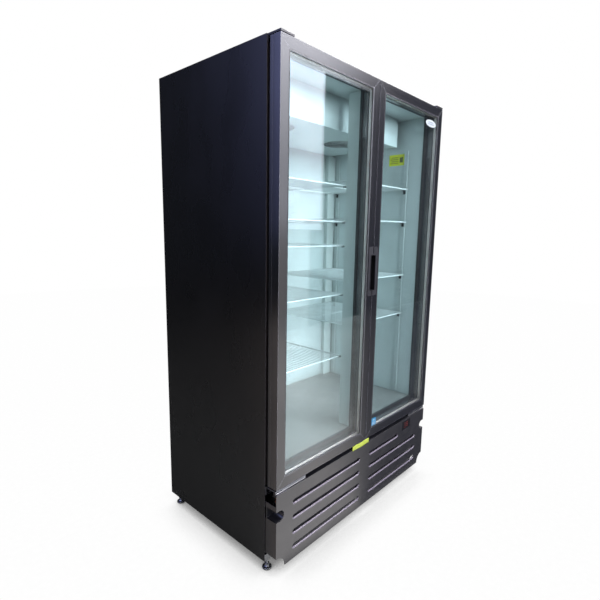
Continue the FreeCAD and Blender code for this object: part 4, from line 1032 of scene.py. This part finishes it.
def fan_guards():
    """Round wire guards under the two fans of the evaporator cover."""
    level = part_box("evaporator_cover")[0][2] - 1.5 * MM
    shape = bmesh.new()
    for word in SIDES:
        centre = (*joint_axis(f"evaporator_fan_{word}_spin"), level)
        for radius in (24, 42, 60, 78, 96):
            ring_wire(shape, centre, radius * MM, 1.2 * MM)
        for turn in (45, 135, 225, 315):
            out = Vector((math.cos(math.radians(turn)), math.sin(math.radians(turn)), 0))
            across = Vector((-out.y, out.x, 0)) * 1.1 * MM
            rise = Vector((0, 0, 0.9 * MM))
            start = Vector(centre) + out * 23 * MM
            end = Vector(centre) + out * 106 * MM
            corners = (across - rise, across + rise, -across + rise, -across - rise)
            prism(shape, [start + part for part in corners], [end + part for part in corners])
    piece("fan_guards", shape, "white_wire", "cabinet")


def back_hoods():
    """A pressed hood over each louvre slot of the back panel."""
    shape = bmesh.new()
    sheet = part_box("back_panel")[1][1]
    profile = scaled([(0.1, 10), (0.1, 14), (0.6, 13.6), (1.9, 2.4), (1.5, 2.0), (0.9, 9.4)])
    pitch = 36 * MM
    for row in range(6):
        slot = 120 * MM + pitch * row
        for side in SIDES.values():
            ends = sorted((side * 480 * MM, side * 80 * MM))
            rings = [[(x, sheet + out, slot + up) for out, up in profile] for x in ends]
            prism(shape, *rings)
    piece("back_hoods", shape, "galvanised", "cabinet", bevel=0.15 * MM)


def u_bend(shape, centre, direction, rise, radius, steps=12):
    """Half a turn of tube from centre - rise to centre + rise, bulging along direction (+X or -X)."""
    ahead = Vector((direction, 0, 0))
    turns = [math.pi * step / steps - math.pi / 2 for step in range(steps + 1)]
    points = [centre + ahead * math.cos(turn) * rise.length + rise * math.sin(turn) for turn in turns]
    tube(shape, points, radius, ahead.cross(rise).normalized())


def coil_bends():
    """The copper return bends at the ends of both coils."""
    pipe = 4.6 * MM
    gap = 0.4 * MM
    low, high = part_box("condenser_coil")
    pitch = 34 * MM
    middle = (low[1] + high[1]) / 2
    rise = Vector((0, 0, pitch / 2))
    shape = bmesh.new()
    for pair in range(4):
        z = low[2] + 24 * MM + pitch * (2 * pair + 0.5)
        u_bend(shape, Vector((low[0] - gap, middle, z)), -1, rise, pipe)
        if pair < 3:
            u_bend(shape, Vector((high[0] + gap, middle, z + pitch)), 1, rise, pipe)
    piece("condenser_bends", shape, "copper", "cabinet")
    low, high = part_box("evaporator_coil")
    rise = Vector((0, 0, 20 * MM))
    shape = bmesh.new()
    for column in range(3):
        y = low[1] + (22 + 32 * column) * MM
        u_bend(shape, Vector((low[0] - gap, y, low[2] + 42 * MM)), -1, rise, pipe)
        u_bend(shape, Vector((high[0] + gap, y, low[2] + 82 * MM)), 1, rise, pipe)
    piece("evaporator_bends", shape, "copper", "cabinet")


def lamp_caps():
    """Moulded end caps on the two light bars."""
    low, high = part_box("light_bars")
    proud = 0.8 * MM
    tall = 12 * MM
    shape = bmesh.new()
    for x in ((low[0] + 0.1 * MM, low[0] + 12.6 * MM), (high[0] - 12 * MM, high[0] + 0.6 * MM)):
        for bottom in (low[2], high[2] - tall):
            box_shape(shape, (x[0], low[1] - proud, bottom), (x[1], high[1] + proud, bottom + tall))
    piece("lamp_caps", shape, "white_plastic", "cabinet", bevel=1.2 * MM, segments=3)


# how far the sharp edges of each CAD node are rounded, in mm
ROUNDED = {
    "side_panel_left": 0.5, "side_panel_right": 0.5, "top_panel": 0.5, "back_panel": 0.4,
    "cabinet_liner": 1.0, "breaker_strips": 0.5, "centre_mullion": 0.8, "light_bars": 2.0,
    "shelf_standards": 0.4, "shelf_clips": 0.5, "evaporator_cover": 0.5, "drain_duct": 0.6,
    "front_grille": 1.2, "control_display": 0.7, "bottom_hinges": 0.7,
    "handle_grip_left": 0.5, "handle_grip_right": 0.5, "base_frame": 0.5, "compressor": 1.0,
    "condenser_shroud": 0.6, "condenser_motor": 0.8, "condenser_fan": 0.4,
    "evaporator_fan_left": 0.4, "evaporator_fan_right": 0.4, "condensate_tray": 0.5,
    "electrical_box": 0.8, "power_inlet": 0.6, "filter_drier": 1.0, "evaporator_motors": 0.8,
}


def dress_frame():
    """Gives every CAD node the full finish of the slot that it was packed with, and round edges."""
    for name, node in frame["nodes"].items():
        for slot in node.material_slots:
            slot.material = looks[slot.material.name]
        if name in ROUNDED:
            soften(node, ROUNDED[name] * MM)


# ---------------------------------------------------------------- light, floor and camera

def area_light(name, place, target, size, power, glossy=True, colour=(1, 1, 1)):
    """A soft rectangular lamp that points at a target and isn't seen itself."""
    data = bpy.data.lights.new(name, "AREA")
    data.shape = "RECTANGLE"
    data.size, data.size_y = size
    data.energy = power
    data.color = colour
    lamp = linked(name, data)
    lamp.location = place
    lamp.rotation_euler = (Vector(target) - Vector(place)).to_track_quat("-Z", "Y").to_euler()
    lamp.visible_camera = False
    lamp.visible_glossy = glossy
    lamp.visible_transmission = glossy


def mirror_card(name, corners, low, high, colour, along=(0, 0, 1), span=None):
    """A soft card that only reflections see. It glows from low to high along a direction."""
    mesh = bpy.data.meshes.new(name)
    mesh.from_pydata(corners, [], [(0, 1, 2, 3)])
    made = linked(name, mesh)
    made.visible_camera = False
    made.visible_diffuse = False
    made.visible_shadow = False
    look = Surface(name + "_look")
    where = look.node("VectorMath", {0: look.place, 1: along}, operation="DOT_PRODUCT").outputs["Value"]
    ends = span or [Vector(corner).dot(Vector(along)) for corner in corners]
    cloud = look.remap(look.noise(1.3, 4.0), 0.3, 0.7, 0.72, 1.26)
    glow = look.maths("MULTIPLY", look.remap(where, min(ends), max(ends), low, high, True), cloud)
    light = look.node("Emission", {"Color": colour, "Strength": glow})
    look.show(light.outputs["Emission"])
    mesh.materials.append(look.material)


def standing(start, end, low, high):
    """The corners of an upright card over the line between two places on the floor."""
    return (*start, low), (*end, low), (*end, high), (*start, high)


def lying(height, *places):
    """The corners of a level card."""
    return [(*place, height) for place in places]


def reflection_cards():
    """What the doors, the grille and the left side mirror: bright ahead of the left door, dim beyond."""
    sky = (0.90, 0.91, 1.0, 1.0)
    warm = (1.0, 0.97, 0.96, 1.0)
    pink = (1.0, 0.94, 1.0, 1.0)
    dusk = (0.84, 0.86, 1.0, 1.0)
    blue = (0.45, 0.50, 1.0, 1.0)
    clay = (1.0, 0.86, 0.84, 1.0)
    east = (1, 0, 0)
    mirror_card("sky_card", standing((-0.5, -3.37), (3.25, -3.37), 1.40, 5.4), 2.2, 7.2, sky)
    mirror_card("high_card", standing((3.25, -3.40), (4.6, -3.40), 3.55, 5.4), 4.2, 1.0, sky, east)
    mirror_card("dim_card", standing((3.25, -3.42), (9.0, -3.42), 0.0, 3.2), 0.06, 0.12, sky)
    mirror_card("far_card", standing((-0.5, -3.37), (3.0, -3.37), 0.0, 1.40), 1.9, 0.9, warm, east)
    mirror_card("ground_card", lying(0.003, (-1.0, -0.42), (0.03, -0.42), (4.6, -3.37), (-1.0, -3.37)),
                1.5, 0.40, warm, (1, 1, 0), (-0.8, 0.1))
    mirror_card("dim_ground", lying(0.002, (0.03, -0.42), (9.0, -0.42), (9.0, -3.37), (4.6, -3.37)),
                0.14, 0.10, dusk, east)
    mirror_card("overhead_card", lying(4.6, (2.2, -4.4), (6.5, -4.4), (6.5, 2.2), (2.2, 2.2)),
                20.0, 1.5, pink, east, (3.4, 5.6))
    mirror_card("near_card", standing((-3.9, -2.6), (-2.9, -3.6), 0.2, 4.4), 1.5, 3.0, sky)
    mirror_card("left_sky", standing((-4.5, -2.0), (-4.5, 3.75), 1.3, 5.0), 0.8, 3.0, blue)
    mirror_card("left_ground", lying(0.003, (-0.62, -0.34), (-4.5, 3.79), (-4.5, -1.4), (-1.2, -1.0)),
                0.75, 0.55, clay, east)


def studio():
    """A white room to the camera, soft light from the front left, and cards for the reflections."""
    world = bpy.data.worlds.new("studio_world")
    bpy.context.scene.world = world
    world.use_nodes = True
    tree = world.node_tree
    tree.nodes.clear()
    output = tree.nodes.new("ShaderNodeOutputWorld")
    seen = tree.nodes.new("ShaderNodeBackground")
    seen.inputs["Color"].default_value = (1.0, 1.0, 1.0, 1.0)
    lit = tree.nodes.new("ShaderNodeBackground")
    lit.inputs["Color"].default_value = (0.78, 0.87, 1.0, 1.0)
    lit.inputs["Strength"].default_value = 0.07
    ray = tree.nodes.new("ShaderNodeLightPath")
    mixed = tree.nodes.new("ShaderNodeMixShader")
    tree.links.new(ray.outputs["Is Camera Ray"], mixed.inputs[0])
    tree.links.new(lit.outputs[0], mixed.inputs[1])
    tree.links.new(seen.outputs[0], mixed.inputs[2])
    tree.links.new(mixed.outputs[0], output.inputs["Surface"])

    reflection_cards()
    area_light("key_light", (0.3, -4.9, 2.9), (0.0, 0.0, 1.0), (4.0, 2.0), 600, glossy=False)
    area_light("fill_light", (2.8, -3.6, 2.4), (0.0, 0.0, 1.1), (2.5, 2.5), 70,
               glossy=False, colour=(0.92, 0.96, 1.0))
    area_light("overhead_light", (0.0, -1.4, 4.2), (0.0, -0.4, 0.8), (3.4, 1.6), 150,
               colour=(0.96, 0.97, 1.0))


def floor():
    """A pale floor that fades into the background, with a soft shadow under the cabinet."""
    shape = bmesh.new()
    bmesh.ops.create_circle(shape, cap_ends=True, radius=9.0, segments=96)
    mesh = bpy.data.meshes.new("studio_floor")
    shape.to_mesh(mesh)
    shape.free()
    made = linked("studio_floor", mesh)
    look = Surface("studio_floor_look")
    near = look.node("AmbientOcclusion", {"Distance": 0.26}, samples=8).outputs["AO"]
    speckle = look.remap(look.noise(40.0, 3.0), 0.3, 0.7, 0.985, 1.0)
    shade = look.maths("MULTIPLY", look.remap(near, 0.02, 0.80, 0.10, 1.0, True), speckle)
    seen = look.node("Emission", {"Color": (1.0, 1.0, 1.0, 1.0), "Strength": shade})
    lit = look.node("BsdfDiffuse", {"Color": (0.2, 0.2, 0.2, 1.0)})
    ray = look.node("LightPath")
    mixed = look.node("MixShader", {0: ray.outputs["Is Camera Ray"], 1: lit.outputs["BSDF"],
                                    2: seen.outputs["Emission"]})
    look.show(mixed.outputs["Shader"])
    mesh.materials.append(look.material)


CAMERA_PLACE = (-1.6716, -1.4612, 1.3690)
CAMERA_YAW = 0.8303       # from +Y towards +X, radians
CAMERA_PITCH = -0.1555
CAMERA_ROLL = 0.0171
CAMERA_LENS = 26.14       # mm, for the sensor below
CAMERA_SENSOR = 36.0


def camera():
    """The photographer's place, close to the left front corner and at chest height."""
    ahead = Vector((math.sin(CAMERA_YAW) * math.cos(CAMERA_PITCH),
                    math.cos(CAMERA_YAW) * math.cos(CAMERA_PITCH), math.sin(CAMERA_PITCH)))
    level = Vector((math.cos(CAMERA_YAW), -math.sin(CAMERA_YAW), 0.0))
    upright = level.cross(ahead)
    right = math.cos(CAMERA_ROLL) * level + math.sin(CAMERA_ROLL) * upright
    up = math.cos(CAMERA_ROLL) * upright - math.sin(CAMERA_ROLL) * level
    data = bpy.data.cameras.new("photographer")
    data.lens = CAMERA_LENS
    data.sensor_width = CAMERA_SENSOR
    made = linked("photographer", data)
    turn = Matrix((right, up, -ahead)).transposed().to_4x4()
    made.matrix_world = Matrix.Translation(CAMERA_PLACE) @ turn
    bpy.context.scene.camera = made


dress_frame()
door_frames()
gaskets()
spacers()
top_hinges()
hinge_hems()
hinge_cartridges()
screws()
feet()
notch_pockets()
slot_lips()
badge()
energy_label()
wall_label()
tape()
digits()
fan_guards()
back_hoods()
coil_bends()
lamp_caps()
floor()
studio()
camera()
bpy.context.scene.view_settings.view_transform = "Standard"
